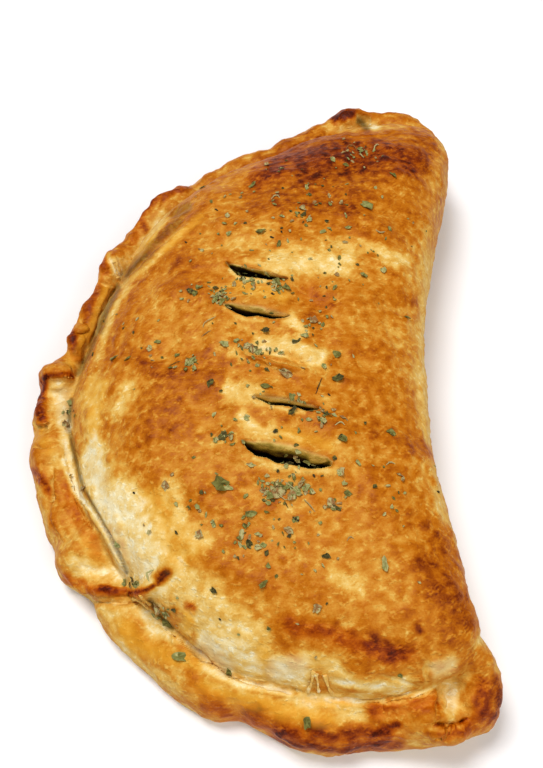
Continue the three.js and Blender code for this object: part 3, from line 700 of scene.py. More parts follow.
def turn_z(points, degrees):
    angle = math.radians(degrees)
    turned = points.copy()
    turned[:, 0] = math.cos(angle) * points[:, 0] - math.sin(angle) * points[:, 1]
    turned[:, 1] = math.sin(angle) * points[:, 0] + math.cos(angle) * points[:, 1]
    return turned


def new_object(name, points, faces, scale=1.0):
    mesh = bpy.data.meshes.new(name)
    mesh.from_pydata((np.asarray(points) * scale).tolist(), [], faces)
    piece = bpy.data.objects.new(name, mesh)
    bpy.context.collection.objects.link(piece)
    return piece


def remove_object(piece):
    mesh = piece.data
    bpy.data.objects.remove(piece)
    bpy.data.meshes.remove(mesh)


def baked_mesh(piece):
    """The mesh of a piece with its modifiers applied."""
    graph = bpy.context.evaluated_depsgraph_get()
    return bpy.data.meshes.new_from_object(piece.evaluated_get(graph))


def combine(body, tool, operation):
    """Joins a tool to a body or cuts it away, and removes the tool."""
    step = body.modifiers.new(operation, "BOOLEAN")
    step.operation = operation
    step.solver = "MANIFOLD"
    step.object = tool
    result = baked_mesh(body)
    if not result.polygons:
        raise RuntimeError(f"{operation} of {tool.name} left nothing of {body.name}")
    body.modifiers.clear()
    old = body.data
    body.data = result
    bpy.data.meshes.remove(old)
    remove_object(tool)


def mesh_points(mesh, source="co"):
    values = np.empty(3 * len(mesh.vertices), np.float32)
    if source == "co":
        mesh.vertices.foreach_get("co", values)
    else:
        mesh.vertex_normals.foreach_get("vector", values)
    return values.reshape(-1, 3).astype(float)


def mesh_edges(mesh):
    ends = np.empty(2 * len(mesh.edges), np.int32)
    mesh.edges.foreach_get("vertices", ends)
    return ends.reshape(-1, 2)


def set_points(mesh, points):
    mesh.vertices.foreach_set("co", points.astype(np.float32).ravel())
    mesh.update()


def set_mark(mesh, name, values):
    """Keeps a number for each point of a mesh, for its material to read."""
    layer = mesh.attributes.new(name, "FLOAT", "POINT")
    layer.data.foreach_set("value", values.astype(np.float32))


def surface_tree(mesh, points):
    """The faces of a mesh, ready for rays."""
    return BVHTree.FromPolygons(points.tolist(), [tuple(face.vertices) for face in mesh.polygons])


def neighbour_mean(values, edges):
    """Each point's mean over the points it shares an edge with."""
    count = len(values)
    total = np.empty_like(values)
    both = np.concatenate([edges[:, 0], edges[:, 1]])
    other = np.concatenate([edges[:, 1], edges[:, 0]])
    for axis in range(values.shape[1]):
        total[:, axis] = np.bincount(both, values[other, axis], count)
    return total / np.maximum(np.bincount(both, minlength=count), 1)[:, None]


# ------------------------------------------------------------------ the dough's form

def swell(x, y):
    """The slow, uneven swell of baked dough."""
    waves = [np.sin(across * x + along * y + start) for across, along, start in SWELL_WAVES]
    return SWELL * sum(waves) / len(waves)


def dome_top(y):
    return DOME_HEIGHT - TIP_DROP * (np.abs(y) / TIP_REACH) ** TIP_CURVE


def slash_lips(x, y):
    """The low ridge that the dough stands up in beside each slash."""
    rise = np.zeros_like(x)
    for middle_x, middle_y, length, opening, heading in SLASHES:
        arm = np.stack([x - middle_x, y - middle_y, 0 * x], axis=1)
        arm = turn_z(arm, -heading)
        along = (arm[:, 0] / (LIP_LENGTH * length)) ** 4
        across = (arm[:, 1] / (opening / 2 + LIP_WIDTH)) ** 2
        rise += LIP_RISE * np.exp(-along - across)
    return rise


def dome_radius(angle):
    """How far the widest outline lies from the dome's centre, in each direction."""
    shares = np.arange(OUTLINE_READINGS) / OUTLINE_READINGS
    outline = curve(DOME_OUTLINE, shares, closed=True) - DOME_CENTRE
    turns = np.arctan2(outline[:, 1], outline[:, 0])
    order = np.argsort(turns)
    return np.interp(angle, turns[order], np.hypot(*outline.T)[order], period=2 * math.pi)


def make_dome():
    points, faces = ball(*DOME_FACES)
    x, y, z = points.T
    angle = np.arctan2(DOME_ASPECT * y, x)
    run = np.hypot(x, y)
    rise = np.abs(z)
    above = z > 0
    upper, less, lower = DOME_SQUARENESS
    square = np.where(above, upper - less * smoothstep(-np.cos(angle), *SEAM_BEGINS), lower)
    scale = (run**square + rise**square) ** (1 / square)
    share = run / scale
    reach = share * dome_radius(angle)
    x = DOME_CENTRE[0] + reach * np.cos(angle)
    y = DOME_CENTRE[1] + reach * np.sin(angle) * (1 + DOME_BEND * (1 - share))
    widest = lerp(SEAM_HEIGHT, FOLD_HEIGHT, smoothstep(np.cos(angle), *FOLD_BEGINS))
    top = dome_top(y) + swell(x, y) + slash_lips(x, y)
    z = lerp(widest, np.where(above, top, -UNDERCUT), rise / scale)
    return new_object("dome", np.stack([x, y, z], axis=1), faces)


def rim_heading(t):
    """The way along the rim's middle line, seen from above."""
    after = curve(RIM_STATIONS, np.minimum(t + RIM_STEP, 1))
    before = curve(RIM_STATIONS, np.maximum(t - RIM_STEP, 0))
    run = after - before
    return run[:, :2] / np.linalg.norm(run[:, :2], axis=1)[:, None]


def make_rim():
    points, faces = ball(*RIM_FACES)
    t = np.arccos(np.clip(points[:, 2], -1, 1)) / math.pi
    x, y, half, height, lean = curve(RIM_STATIONS, t).T
    rise = np.zeros_like(x)
    push = np.zeros_like(x)
    for knuckle_x, knuckle_y, more_rise, more_push, reach in RIM_KNUCKLES:
        near = np.exp(-((x - knuckle_x) ** 2 + (y - knuckle_y) ** 2) / reach**2)
        rise += more_rise * near
        push += more_push * near
    from_end = np.minimum(np.minimum(t, 1 - t), RIM_END) / RIM_END
    rounding = np.sqrt(1 - (1 - from_end) ** 2)
    around = np.arctan2(points[:, 0], points[:, 1])
    out = np.cos(around)
    up = np.sin(around)
    edge = (np.abs(out) ** RIM_SQUARENESS + np.abs(up) ** RIM_SQUARENESS) ** (-1 / RIM_SQUARENESS)
    top = (height + rise) * lerp(RIM_END_HEIGHT, 1, rounding) + swell(2 * x, 2 * y)
    z = lerp(-UNDERCUT, top, (1 + up * edge) / 2)
    thickness = half + np.where(out > 0, push, 0)
    side = rounding * out * edge * thickness - lean * (z - top / 2)
    heading = rim_heading(t)
    place = np.stack([x - heading[:, 1] * side, y + heading[:, 0] * side, z], axis=1)
    return new_object("rim", place, faces)


def make_sole():
    """The bottom layer of dough, which joins the dome to the rim under the groove."""
    outline = np.vstack([curve(RIM_STATIONS, SOLE_SHARES)[:, :2], SOLE_FOLD_EDGE])
    count = len(outline)
    low = np.column_stack([outline, np.full(count, -UNDERCUT)])
    high = np.column_stack([outline, np.full(count, SOLE_THICKNESS)])
    (x, y), (next_x, next_y) = outline.T, np.roll(outline, -1, axis=0).T
    anticlockwise = np.sum(x * next_y - next_x * y) > 0
    ring = list(range(count)) if anticlockwise else list(range(count))[::-1]
    faces = [ring[::-1], [count + i for i in ring]]
    for a, b in zip(ring, ring[1:] + ring[:1]):
        faces.append([a, b, count + b, count + a])
    return new_object("sole", np.vstack([low, high]), faces)


def make_lump(name, middle, half_sizes, heading, climb):
    points, faces = ball(*LUMP_FACES)
    points = points * half_sizes
    lift = math.radians(climb)
    x, z = points[:, 0].copy(), points[:, 2].copy()
    points[:, 0] = math.cos(lift) * x - math.sin(lift) * z
    points[:, 2] = math.sin(lift) * x + math.cos(lift) * z
    return new_object(name, turn_z(points, heading) + middle, faces)


def make_dough(grain):
    """The crust's mesh, even and smooth, its slashes still closed."""
    body = make_dome()
    combine(body, make_rim(), "UNION")
    combine(body, make_sole(), "UNION")
    for rows, operation in ((LUMPS, "UNION"), (HOLLOWS, "DIFFERENCE")):
        for name, row in rows.items():
            combine(body, make_lump(name, *row), operation)
    step = body.modifiers.new("even mesh", "REMESH")
    step.mode = "VOXEL"
    step.voxel_size = grain
    dough = Dough(baked_mesh(body))
    dough.smooth(3)
    remove_object(body)
    return dough


def along_path(points, path):
    """How far each point is from a path, where beside it (0 to 1) and beside which step."""
    ways = np.diff(path, axis=0)
    steps = np.linalg.norm(ways, axis=1)
    run = np.concatenate([[0], np.cumsum(steps)])
    nearest = np.full(len(points), np.inf)
    share = np.zeros(len(points))
    beside = np.zeros(len(points), int)
    for i, (start, way, step) in enumerate(zip(path, ways, steps)):
        arm = points - start
        part = np.clip(arm @ way / step**2, 0, 1)
        gap = np.linalg.norm(arm - part[:, None] * way, axis=1)
        closer = gap < nearest
        nearest[closer] = gap[closer]
        share[closer] = ((run[i] + part * step) / run[-1])[closer]
        beside[closer] = i
    return nearest, share, beside


def side_of(points, path):
    """Which side of a path of pixels each point is on, in pixels: + is below a way to the right."""
    beside = along_path(points, path)[2]
    arm = points - path[beside]
    way = np.diff(path, axis=0)[beside]
    return (way[:, 0] * arm[:, 1] - way[:, 1] * arm[:, 0]) / np.linalg.norm(way, axis=1)


def facing_camera(points, normals, cosines):
    """From 0 to 1 as the dough turns to the camera, between two cosines."""
    arm = CAMERA_PLACE - points
    arm /= np.linalg.norm(arm, axis=1)[:, None]
    return smoothstep((arm * normals).sum(axis=1), *cosines)


class Dough:
    """The crust's mesh while it is worked: its points and normals in mm, and where pixels land."""

    def __init__(self, mesh):
        self.mesh = mesh
        self.points = mesh_points(mesh) - ORIGIN
        self.edges = mesh_edges(mesh)
        self.settle()

    def settle(self):
        """Takes up the moved points."""
        self.points[:, 2] = np.maximum(self.points[:, 2], 0)
        set_points(self.mesh, self.points)
        self.normals = mesh_points(self.mesh, "normal")

    def watch(self):
        """Keeps the present surface for path()."""
        self.tree = surface_tree(self.mesh, self.points)

    def path(self, pixels):
        """The places on the dough under a line of pixels, whose ends may run past its edge."""
        pixels = np.array(pixels, float)
        places = []
        for start, end in zip(pixels[:-1], pixels[1:]):
            count = max(1, round(float(np.linalg.norm(end - start)) / PATH_STEP))
            places += [land(self.tree, lerp(start, end, i / count)) for i in range(count)]
        places.append(land(self.tree, pixels[-1]))
        found = [hit[0] for hit in places if hit]
        if len(found) < 2:
            raise RuntimeError(f"the line from pixel {tuple(pixels[0])} misses the dough")
        return np.array(found)

    def near(self, path, reach):
        low = path.min(axis=0) - reach
        high = path.max(axis=0) + reach
        return np.flatnonzero(np.all((self.points > low) & (self.points < high), axis=1))

    def refine(self, paths, reach):
        """Halves the faces near some paths of places."""
        chosen = np.zeros(len(self.points), bool)
        for path in paths:
            some = self.near(path, reach)
            gap = along_path(self.points[some], path)[0]
            chosen[some[gap < reach]] = True
        work = bmesh.new()
        work.from_mesh(self.mesh)
        halved = [edge for edge, both in zip(work.edges, chosen[self.edges].all(axis=1)) if both]
        bmesh.ops.subdivide_edges(work, edges=halved, cuts=1, use_grid_fill=True)
        work.to_mesh(self.mesh)
        work.free()
        self.points = mesh_points(self.mesh)
        self.edges = mesh_edges(self.mesh)
        self.settle()

    def smooth(self, rounds):
        for _ in range(rounds):
            self.points += SMOOTHING * (neighbour_mean(self.points, self.edges) - self.points)
        self.settle()

    def soften(self, path, reach, rounds):
        """Rounds the dough off near a path of places."""
        some = self.near(path, reach)
        gap = along_path(self.points[some], path)[0]
        weight = SMOOTHING * (1 - smoothstep(gap, SMOOTHED_WHOLE * reach, reach))[:, None]
        for _ in range(rounds):
            mean = neighbour_mean(self.points, self.edges)[some]
            self.points[some] += weight * (mean - self.points[some])

    def mould(self, height, width, pixels, one_side):
        """Raises (+) or presses (-) the dough along a line of pixels, or only on one side of it."""
        reach, steepness, at_ends = LEDGE_SHAPE if one_side else FOLD_SHAPE
        path = self.path(pixels)
        some = self.near(path, reach * width)
        points = self.points[some]
        gap, share, _ = along_path(points, path)
        taper = np.clip(steepness * np.minimum(share, 1 - share) + at_ends, 0, 1)
        lift = height * taper * np.exp(-(gap / width) ** 2)
        if one_side:
            lift *= smoothstep(side_of(to_pixels(points), to_pixels(path)), *LEDGE_RISES)
        lift *= facing_camera(points, self.normals[some], FOLDS_FACE)
        self.points[some] += lift[:, None] * self.normals[some]

    def open(self, far_edge, near_lip, depth, wall, drop):
        """Opens a slash between two lines of pixels, along the camera's rays; says how deep."""
        across, down = to_pixels(self.points).T
        far = np.interp(across, *np.array(far_edge, float).T)
        near = np.interp(across, *np.array(near_lip, float).T)
        share = (down - far) / np.maximum(near - far, 0.1)
        along = 2 * (across - far_edge[0][0]) / (far_edge[-1][0] - far_edge[0][0]) - 1
        some = (share > 0) & (share < 1) & (np.abs(along) < 1)
        some &= facing_camera(self.points, self.normals, STROKES_FACE) > 0.5
        share = share[some]
        below = drop * np.minimum(share / wall, 1) ** WALL_CURVE
        below += (depth - drop) * smoothstep(share, wall, wall + FALL)
        below *= np.sqrt(1 - along[some] ** 2)
        rays = self.points[some] - CAMERA_PLACE
        self.points[some] += below[:, None] * rays / np.linalg.norm(rays, axis=1)[:, None]
        depths = np.zeros(len(self.points))
        depths[some] = below
        return depths


class Brush:
    """Paints strokes that are given in pixels onto the points of the dough that they cover."""

    def __init__(self, dough):
        points = dough.points
        self.pixels = to_pixels(points)
        self.seen = facing_camera(points, dough.normals, STROKES_FACE)
        self.wander = np.stack([layers(points, WANDER, seed) for seed in SEEDS["wander"]], axis=1)
        self.ragged = layers(points, RAGGED, SEEDS["ragged"])

    def weights(self, half, share, path):
        """The points under one stroke, and how much of it each takes."""
        path = np.array(path, float)
        pixels = self.pixels + min(1, half / WANDER_FROM) ** WANDER_CURVE * self.wander
        low = path.min(axis=0) - STROKE_REACH * half
        high = path.max(axis=0) + STROKE_REACH * half
        some = np.flatnonzero(np.all((pixels > low) & (pixels < high), axis=1))
        edge = along_path(pixels[some], path)[0] / half + RAGGED_SHARE * self.ragged[some]
        return some, share * self.seen[some] * (1 - smoothstep(edge, *STROKE_FADES))

    def cover(self, strokes):
        """How much of a group of strokes each point takes, from 0 to 1."""
        covered = np.zeros(len(self.pixels))
        for stroke in strokes.values():
            some, weight = self.weights(*stroke)
            covered[some] = np.maximum(covered[some], weight)
        return covered


def plain_browning(points, normals):
    """How brown the dough is where no stroke reaches, from 0 to 1."""
    plain, fold, sole = (
        tone + height * noise(points, size, SEEDS[name])
        for name, (tone, height, size) in
        (("plain", PLAIN_TOAST), ("fold", FOLD_TOAST), ("sole", SOLE_TOAST)))
    plain += TOP_TOAST * smoothstep(points[:, 2], *TOP_BEGINS)
    fold_side = smoothstep(normals[:, 0], *FOLD_TURNS) * smoothstep(points[:, 0], *FOLD_LIES)
    low = 1 - smoothstep(points[:, 2], *SOLE_ENDS)
    return lerp(lerp(plain, fold, fold_side), sole, low)


def browning(dough, brush):
    """How brown each point of the dough is, from 0 to 1, with the shade and highlights that some
    strokes paint.
    """
    points = dough.points
    toast = plain_browning(points, dough.normals)
    for tone, *stroke in BROWNING_AND_PAINTED_LIGHT.values():
        some, weight = brush.weights(*stroke)
        toast[some] += weight * (tone - toast[some])
    bulge = ((points - neighbour_mean(points, dough.edges)) * dough.normals).sum(axis=1)
    crests = np.tanh(neighbour_mean(bulge[:, None], dough.edges)[:, 0] / CREST_HEIGHT)
    streaks, _, on_rim = rim_noise(points)
    mottles = layers(points, MOTTLES, SEEDS["mottles"])
    toast += mottles + CREST_TOAST * crests + RIM_STREAK_TOAST * on_rim * streaks
    return np.clip(toast, 0, 1)


def crumb_and_painted_shade(depth, brush):
    """The crumb's colour inside the slashes with painted shade over it, from 0 at the skin to 1 in
    painted darkness.
    """
    within = smoothstep(depth, *WALL_STARTS)
    inside = within * lerp(*WALL_TONES, smoothstep(depth, *WALL_DARKENS))
    for tone, *stroke in SLASH_SHADE.values():
        some, weight = brush.weights(*stroke)
        inside[some] += weight * within[some] * (tone - inside[some])
    return np.maximum(inside, smoothstep(depth, *PAINTED_DARK_STARTS))


def rim_noise(points):
    """Streaks along the rolled rim, pleats across it, and how much each point belongs to it."""
    middle = curve(RIM_STATIONS, np.arange(RIM_READINGS + 1) / RIM_READINGS)[:, :2] - ORIGIN[:2]
    run = np.concatenate([[0], np.cumsum(np.linalg.norm(np.diff(middle, axis=0), axis=1))])
    turns = -np.arctan2(middle[:, 1], middle[:, 0]) % (2 * math.pi)
    order = np.argsort(turns)
    turn = -np.arctan2(points[:, 1], points[:, 0]) % (2 * math.pi)
    along = np.interp(turn, turns[order], run[order])
    off = np.hypot(*points[:, :2].T) - np.interp(turn, turns[order], np.hypot(*middle.T)[order])
    up = points[:, 2]
    _, width, longer = RIM_STREAKS
    streaks = noise(np.stack([along / longer, off, up], axis=1), width, SEEDS["streaks"])
    _, width, longer = RIM_PLEATS
    pleats = noise(np.stack([along, off / longer, up / longer], axis=1), width, SEEDS["pleats"])
    on_rim = smoothstep(off, *RIM_BEGINS) * (turn > turns.min()) * (turn < turns.max())
    return streaks, pleats, on_rim


def roughen(dough):
    """Makes the dough uneven, blisters it, and streaks and pleats its rim."""
    points = dough.points
    lift = layers(points, LUMPINESS, SEEDS["lumpiness"])
    lift += sum(height * blisters(points, size, seed, share)
                for seed, (height, size, share) in enumerate(BLISTERS, SEEDS["blisters"]))
    streaks, pleats, on_rim = rim_noise(points)
    lift += on_rim * (RIM_STREAKS[0] * streaks + RIM_PLEATS[0] * pleats)
    lift *= smoothstep(points[:, 2], *ROUGH_FROM)
    dough.points = points + lift[:, None] * dough.normals
    dough.settle()


def knead(dough):
    """Puts the folds, wrinkles and blisters into the dough, and slashes it; says how deep."""
    dough.watch()
    dough.soften(dough.path(SEAM), *SEAM_SMOOTHING)
    dough.settle()
    dough.watch()
    folds = [dough.path(pixels) for _, _, pixels in (*FOLDS.values(), *LEDGES.values())]
    edges = [dough.path(pixels) for row in SLASH_EDGES.values() for pixels in row[:2]]
    dough.refine(folds + edges, REFINE_REACH)
    dough.refine(edges, SLASH_REFINE_REACH)
    dough.smooth(1)
    for rows, one_side in ((LEDGES, True), (FOLDS, False)):
        for row in rows.values():
            dough.mould(*row, one_side)
        dough.settle()
    roughen(dough)
    depths = sum(dough.open(*row) for row in SLASH_EDGES.values())
    for far_edge in edges[::2]:
        dough.soften(far_edge, *EDGE_ROUNDING)
    dough.settle()
    return depths


# ------------------------------------------------------------------ materials

def linear(colour):
    """An sRGB hex colour as linear red, green and blue."""
    parts = [int(colour[i:i + 2], 16) / 255 for i in (1, 3, 5)]
    return [part / 12.92 if part <= 0.04045 else ((part + 0.055) / 1.055) ** 2.4 for part in parts]


def add_node(tree, kind, settings=None, inputs=None):
    """Adds a node with its settings; each input takes a value, or a link from an output."""
    node = tree.nodes.new(kind)
    for name, value in (settings or {}).items():
        setattr(node, name, value)
    for name, value in (inputs or {}).items():
        if isinstance(value, bpy.types.NodeSocket):
            tree.links.new(value, node.inputs[name])
        else:
            node.inputs[name].default_value = value
    return node


def new_material(name):
    material = bpy.data.materials.new(name)
    material.use_nodes = True
    material.node_tree.nodes.clear()
    return material, material.node_tree


def per_metre(size):
    """The scale of a pattern whose features are that many mm across."""
    return 1 / (size * MM)


def read_mark(tree, name):
    """The number that set_mark() kept for each point."""
    return add_node(tree, "ShaderNodeAttribute", {"attribute_name": name}).outputs["Fac"]


def add_math(tree, operation, *values, clamp=False):
    settings = {"operation": operation, "use_clamp": clamp}
    return add_node(tree, "ShaderNodeMath", settings, dict(enumerate(values))).outputs[0]


def add_uneven(tree, pattern, height, base):
    """A value that a pattern of 0 to 1 makes higher and lower."""
    return add_math(tree, "MULTIPLY_ADD", add_math(tree, "SUBTRACT", pattern, 0.5), height, base)


def add_ramp(tree, share, stops):
    """The colour at a share, between stops of colour from 0 to 1."""
    ramp = add_node(tree, "ShaderNodeValToRGB", None, {"Fac": share})
    elements = ramp.color_ramp.elements
    while len(elements) < len(stops):
        elements.new(0.5)
    for element, (place, colour) in zip(elements, stops.items()):
        element.position = place
        element.color = (*linear(colour), 1)
    return ramp.outputs["Color"]


def add_mix(tree, share, first, second, blend="MIX"):
    settings = {"data_type": "RGBA", "blend_type": blend}
    return add_node(tree, "ShaderNodeMix", settings, {0: share, 6: first, 7: second}).outputs[2]


def add_surface(tree, inputs):
    shader = add_node(tree, "ShaderNodeBsdfPrincipled", None, inputs)
    add_node(tree, "ShaderNodeOutputMaterial", None, {"Surface": shader.outputs["BSDF"]})


# Browning, from floury (0) to scorched (1).
TOAST_COLOURS = {
    0.0: "#f1e6bf", 0.12: "#ebd59c", 0.25: "#e3be6c", 0.4: "#d6a346", 0.52: "#c9862a",
    0.65: "#b8690a", 0.78: "#9e4e00", 0.9: "#752c00", 1.0: "#451400",
}
# What lies over the browning: its colour, and how much of it shows where there is most. The dark
# oil also paints shade in grooves and hollows, and the grey flour partly paints shade.
STAINS = {
    "butter": ("#e2a42c", 0.7, "MIX"), "glaze": ("#ffd8a4", 1, "MULTIPLY"),
    "flour": ("#dccba2", 0.55, "MIX"), "oil": ("#4a3c14", 0.85, "MIX"),
}
# Inside a slash, from its edge (0) to its bottom (1): the crumb's pale colour, then painted shade
# down to near black.
CRUMB_AND_SHADE_COLOURS = {
    0.0: "#ecd08a", 0.2: "#dac270", 0.35: "#b09240", 0.55: "#74601c", 0.75: "#2f1a06",
    1.0: "#0a0300",
}
CRUMB_UNEVEN = 0.5  # how far its patches go up and down those colours
CRUMB_BEGINS = 2.6  # how soon the crust gives way to it
# Texture of the skin: size in mm, stretch, detail, and how much browner its lumps are.
SKIN = {
    "pores": (0.8, 1, 2, 0.22), "wrinkles": (1.9, 3.4, 3, 0.22), "mottles": (4.5, 1.4, 3, 0.16),
}
# Pale flecks: paler flakes of dough on the skin that also stand for painted glints of light.
FLECKS = (1.7, 0.5, 0.74, 0.3)  # size in mm, where they start and are whole, and how much paler
WRINKLES_HEADING = math.radians(-38)  # down the fold's flank, towards the near tip
# How rough the skin is, from pale to brown, and how strongly and how high, in mm, its wrinkles
# and its flecks stand up.
SKIN_ROUGHNESS = {"From Min": 0.2, "From Max": 0.7, "To Min": 0.65, "To Max": 0.45}
WRINKLE_BUMP = (0.4, 0.8)
FLECK_BUMP = (0.8, 0.25)


def make_crust_material():
    """Oven-baked wheat dough, brushed with oil: matt and floury where pale, with a low sheen
    and fine blisters where it browned."""
    material, tree = new_material("baked wheat dough")
    place = add_node(tree, "ShaderNodeTexCoord").outputs["Object"]
    marks = {name: read_mark(tree, name) for name in ("toast", "inside", *STAINS)}
    tone = marks["toast"]
    skin = {}
    for name, (size, stretch, detail, browner) in SKIN.items():
        turned = add_node(tree, "ShaderNodeMapping", None, {
            "Vector": place, "Rotation": (0, 0, WRINKLES_HEADING), "Scale": (1 / stretch, 1, 1)})
        skin[name] = add_node(tree, "ShaderNodeTexNoise", None, {
            "Vector": turned.outputs[0], "Scale": per_metre(size), "Detail": detail,
            "Roughness": 0.6, "Distortion": 0.4}).outputs["Fac"]
        tone = add_uneven(tree, skin[name], browner, tone)
    # Pale flecks, gathered in the mottles: partly flaking dough, partly painted glints.
    size, low, high, paler = FLECKS
    flecks = add_node(tree, "ShaderNodeTexNoise", None, {
        "Vector": turned.outputs[0], "Scale": per_metre(size), "Detail": 2.0, "Roughness": 0.5})
    flecks = add_node(tree, "ShaderNodeMapRange", {"interpolation_type": "SMOOTHSTEP"}, {
        "Value": flecks.outputs["Fac"], "From Min": low, "From Max": high}).outputs["Result"]
    gathered = add_math(tree, "MULTIPLY", flecks, skin["mottles"])
    tone = add_math(tree, "MULTIPLY_ADD", gathered, -paler, tone)
    colour = add_ramp(tree, tone, TOAST_COLOURS)
    # Stains over the browning: butter and glaze, and oil and flour, which also carry painted shade.
    for name, (stain, strength, blend) in STAINS.items():
        share = add_math(tree, "MULTIPLY", marks[name], strength)
        colour = add_mix(tree, share, colour, (*linear(stain), 1), blend)
    # The crumb inside the slashes, with painted shade deepening towards their bottoms.
    uneven = add_uneven(tree, skin["mottles"], CRUMB_UNEVEN, marks["inside"])
    cut = add_math(tree, "MULTIPLY", marks["inside"], CRUMB_BEGINS, clamp=True)
    colour = add_mix(tree, cut, colour, add_ramp(tree, uneven, CRUMB_AND_SHADE_COLOURS))
    rough = add_node(tree, "ShaderNodeMapRange", None, {"Value": tone, **SKIN_ROUGHNESS})
    normal = {}
    for height, (strength, rise) in ((skin["wrinkles"], WRINKLE_BUMP), (flecks, FLECK_BUMP)):
        bump = add_node(tree, "ShaderNodeBump", None, {
            "Height": height, "Strength": strength, "Distance": rise * MM, **normal})
        normal = {"Normal": bump.outputs[0]}
    add_surface(tree, {
        "Base Color": colour, "Roughness": rough.outputs["Result"], "IOR": 1.45,
        "Specular IOR Level": 0.1, **normal})
    return material


HERB_TINTS = {0.0: "#33270a", 0.3: "#6a6424", 0.55: "#8a8a4c", 0.8: "#b3aa72", 1.0: "#8a5a28"}


def make_herb_material():
    """Dried, crumbled oregano and parsley: matt, grey-green to brown, each flake its own tone."""
    material, tree = new_material("dried oregano flakes")
    colour = add_ramp(tree, read_mark(tree, "tint"), HERB_TINTS)
    add_surface(tree, {"Base Color": colour, "Roughness": 0.8, "IOR": 1.4})
    return material


# ------------------------------------------------------------------ herbs

# Where the larger leaves lie: pixel, length in mm, and heading in degrees if it isn't any.
LEAVES = [
    (277, 493, 5, 60), (278, 486, 4, 20), (301, 483, 3.5), (297, 490, 3), (291, 497, 3.5),
    (284, 489, 3), (289, 486, 2.5), (270, 496, 3), (306, 487, 2.5), (331, 503, 3.5), (336, 508, 3),
    (224, 436, 3.5), (231, 438, 3), (218, 295, 3), (222, 302, 3), (216, 289, 2.5), (228, 306, 2.5),
    (190, 291, 3), (200, 288, 3), (195, 293, 2.5), (252, 348, 3.5), (246, 346, 3), (258, 352, 3),
    (282, 353, 2.5), (224, 345, 3.5), (277, 282, 3.5), (287, 289, 3), (244, 282, 3),
    (234, 285, 2.5), (252, 280, 2.5), (360, 150, 4, 10), (366, 154, 3), (393, 175, 4, 60),
    (326, 414, 3.5, 50), (323, 421, 3), (192, 361, 4), (194, 369, 3), (242, 535, 3), (249, 542, 3),
    (258, 547, 2.5), (287, 373, 5.5, 35), (337, 379, 4, -15), (261, 232, 4.5, -20),
    (366, 206, 5, 25), (253, 186, 3.5), (302, 209, 3.5), (309, 220, 2.5), (304, 215, 2.5),
    (279, 244, 3.5), (323, 232, 3), (313, 321, 3.5, 60), (266, 331, 3), (305, 336, 2.5),
    (296, 342, 3), (265, 387, 3), (292, 397, 3), (292, 411, 3.5), (343, 439, 3.5), (341, 472, 3),
    (348, 494, 2.5), (391, 433, 3), (221, 484, 5, 20), (228, 488, 3), (251, 465, 3),
    (249, 514, 3.5), (289, 530, 3), (326, 556, 3), (385, 564, 4.5, 90), (263, 585, 3.5),
    (214, 590, 2.5), (317, 608, 3), (199, 535, 3), (190, 507, 2.5), (166, 485, 3.5, 90),
    (114, 359, 3), (128, 359, 3), (158, 342, 2.5), (150, 348, 2.5), (210, 383, 3), (203, 188, 3),
    (229, 234, 2.5), (227, 216, 2.5), (363, 276, 3), (383, 270, 3), (337, 275, 2.5),
    (335, 288, 2.5), (407, 318, 3), (336, 355, 3), (348, 228, 2.5), (342, 203, 2.5),
    (329, 196, 2.5), (282, 169, 3), (267, 165, 2.5), (332, 160, 3), (346, 165, 2.5), (307, 187, 3),
    (289, 461, 3), (298, 460, 2.5), (308, 462, 2.5), (179, 658, 5, 10), (307, 723, 3.5),
    (229, 672, 3.5), (125, 583, 3.5), (137, 584, 3), (158, 608, 3.5, 50), (168, 622, 3.5, 50),
    (70, 404, 3), (65, 424, 3), (83, 489, 2.5), (118, 544, 2.5), (296, 519, 2.5),
]
# Clusters of crumbled leaf: pixel, spread in pixels, number of crumbs.
SPRINKLES = [
    (284, 490, 11, 60), (221, 296, 6, 40), (245, 283, 10, 34), (278, 284, 7, 16),
    (254, 351, 11, 34), (226, 437, 6, 12), (326, 416, 6, 14), (195, 291, 7, 10), (193, 364, 5, 12),
    (360, 153, 12, 26), (333, 505, 5, 10), (300, 462, 12, 14), (250, 541, 8, 14),
    (305, 215, 10, 16), (300, 404, 14, 14), (316, 330, 14, 12), (340, 200, 35, 26),
    (270, 210, 35, 26), (330, 290, 35, 26), (240, 380, 35, 22), (330, 440, 35, 26),
    (270, 530, 45, 30), (380, 500, 35, 14), (150, 350, 30, 16), (190, 500, 30, 14),
    (162, 614, 5, 14), (68, 412, 3, 8), (300, 600, 60, 16), (350, 250, 40, 22), (230, 245, 25, 16),
    (131, 584, 5, 8),
]
SPRINKLE_DEPTH = 0.7  # how much less they spread down the frame than across it
CRUMB_SIZE = (0.8, 2.2)  # mm
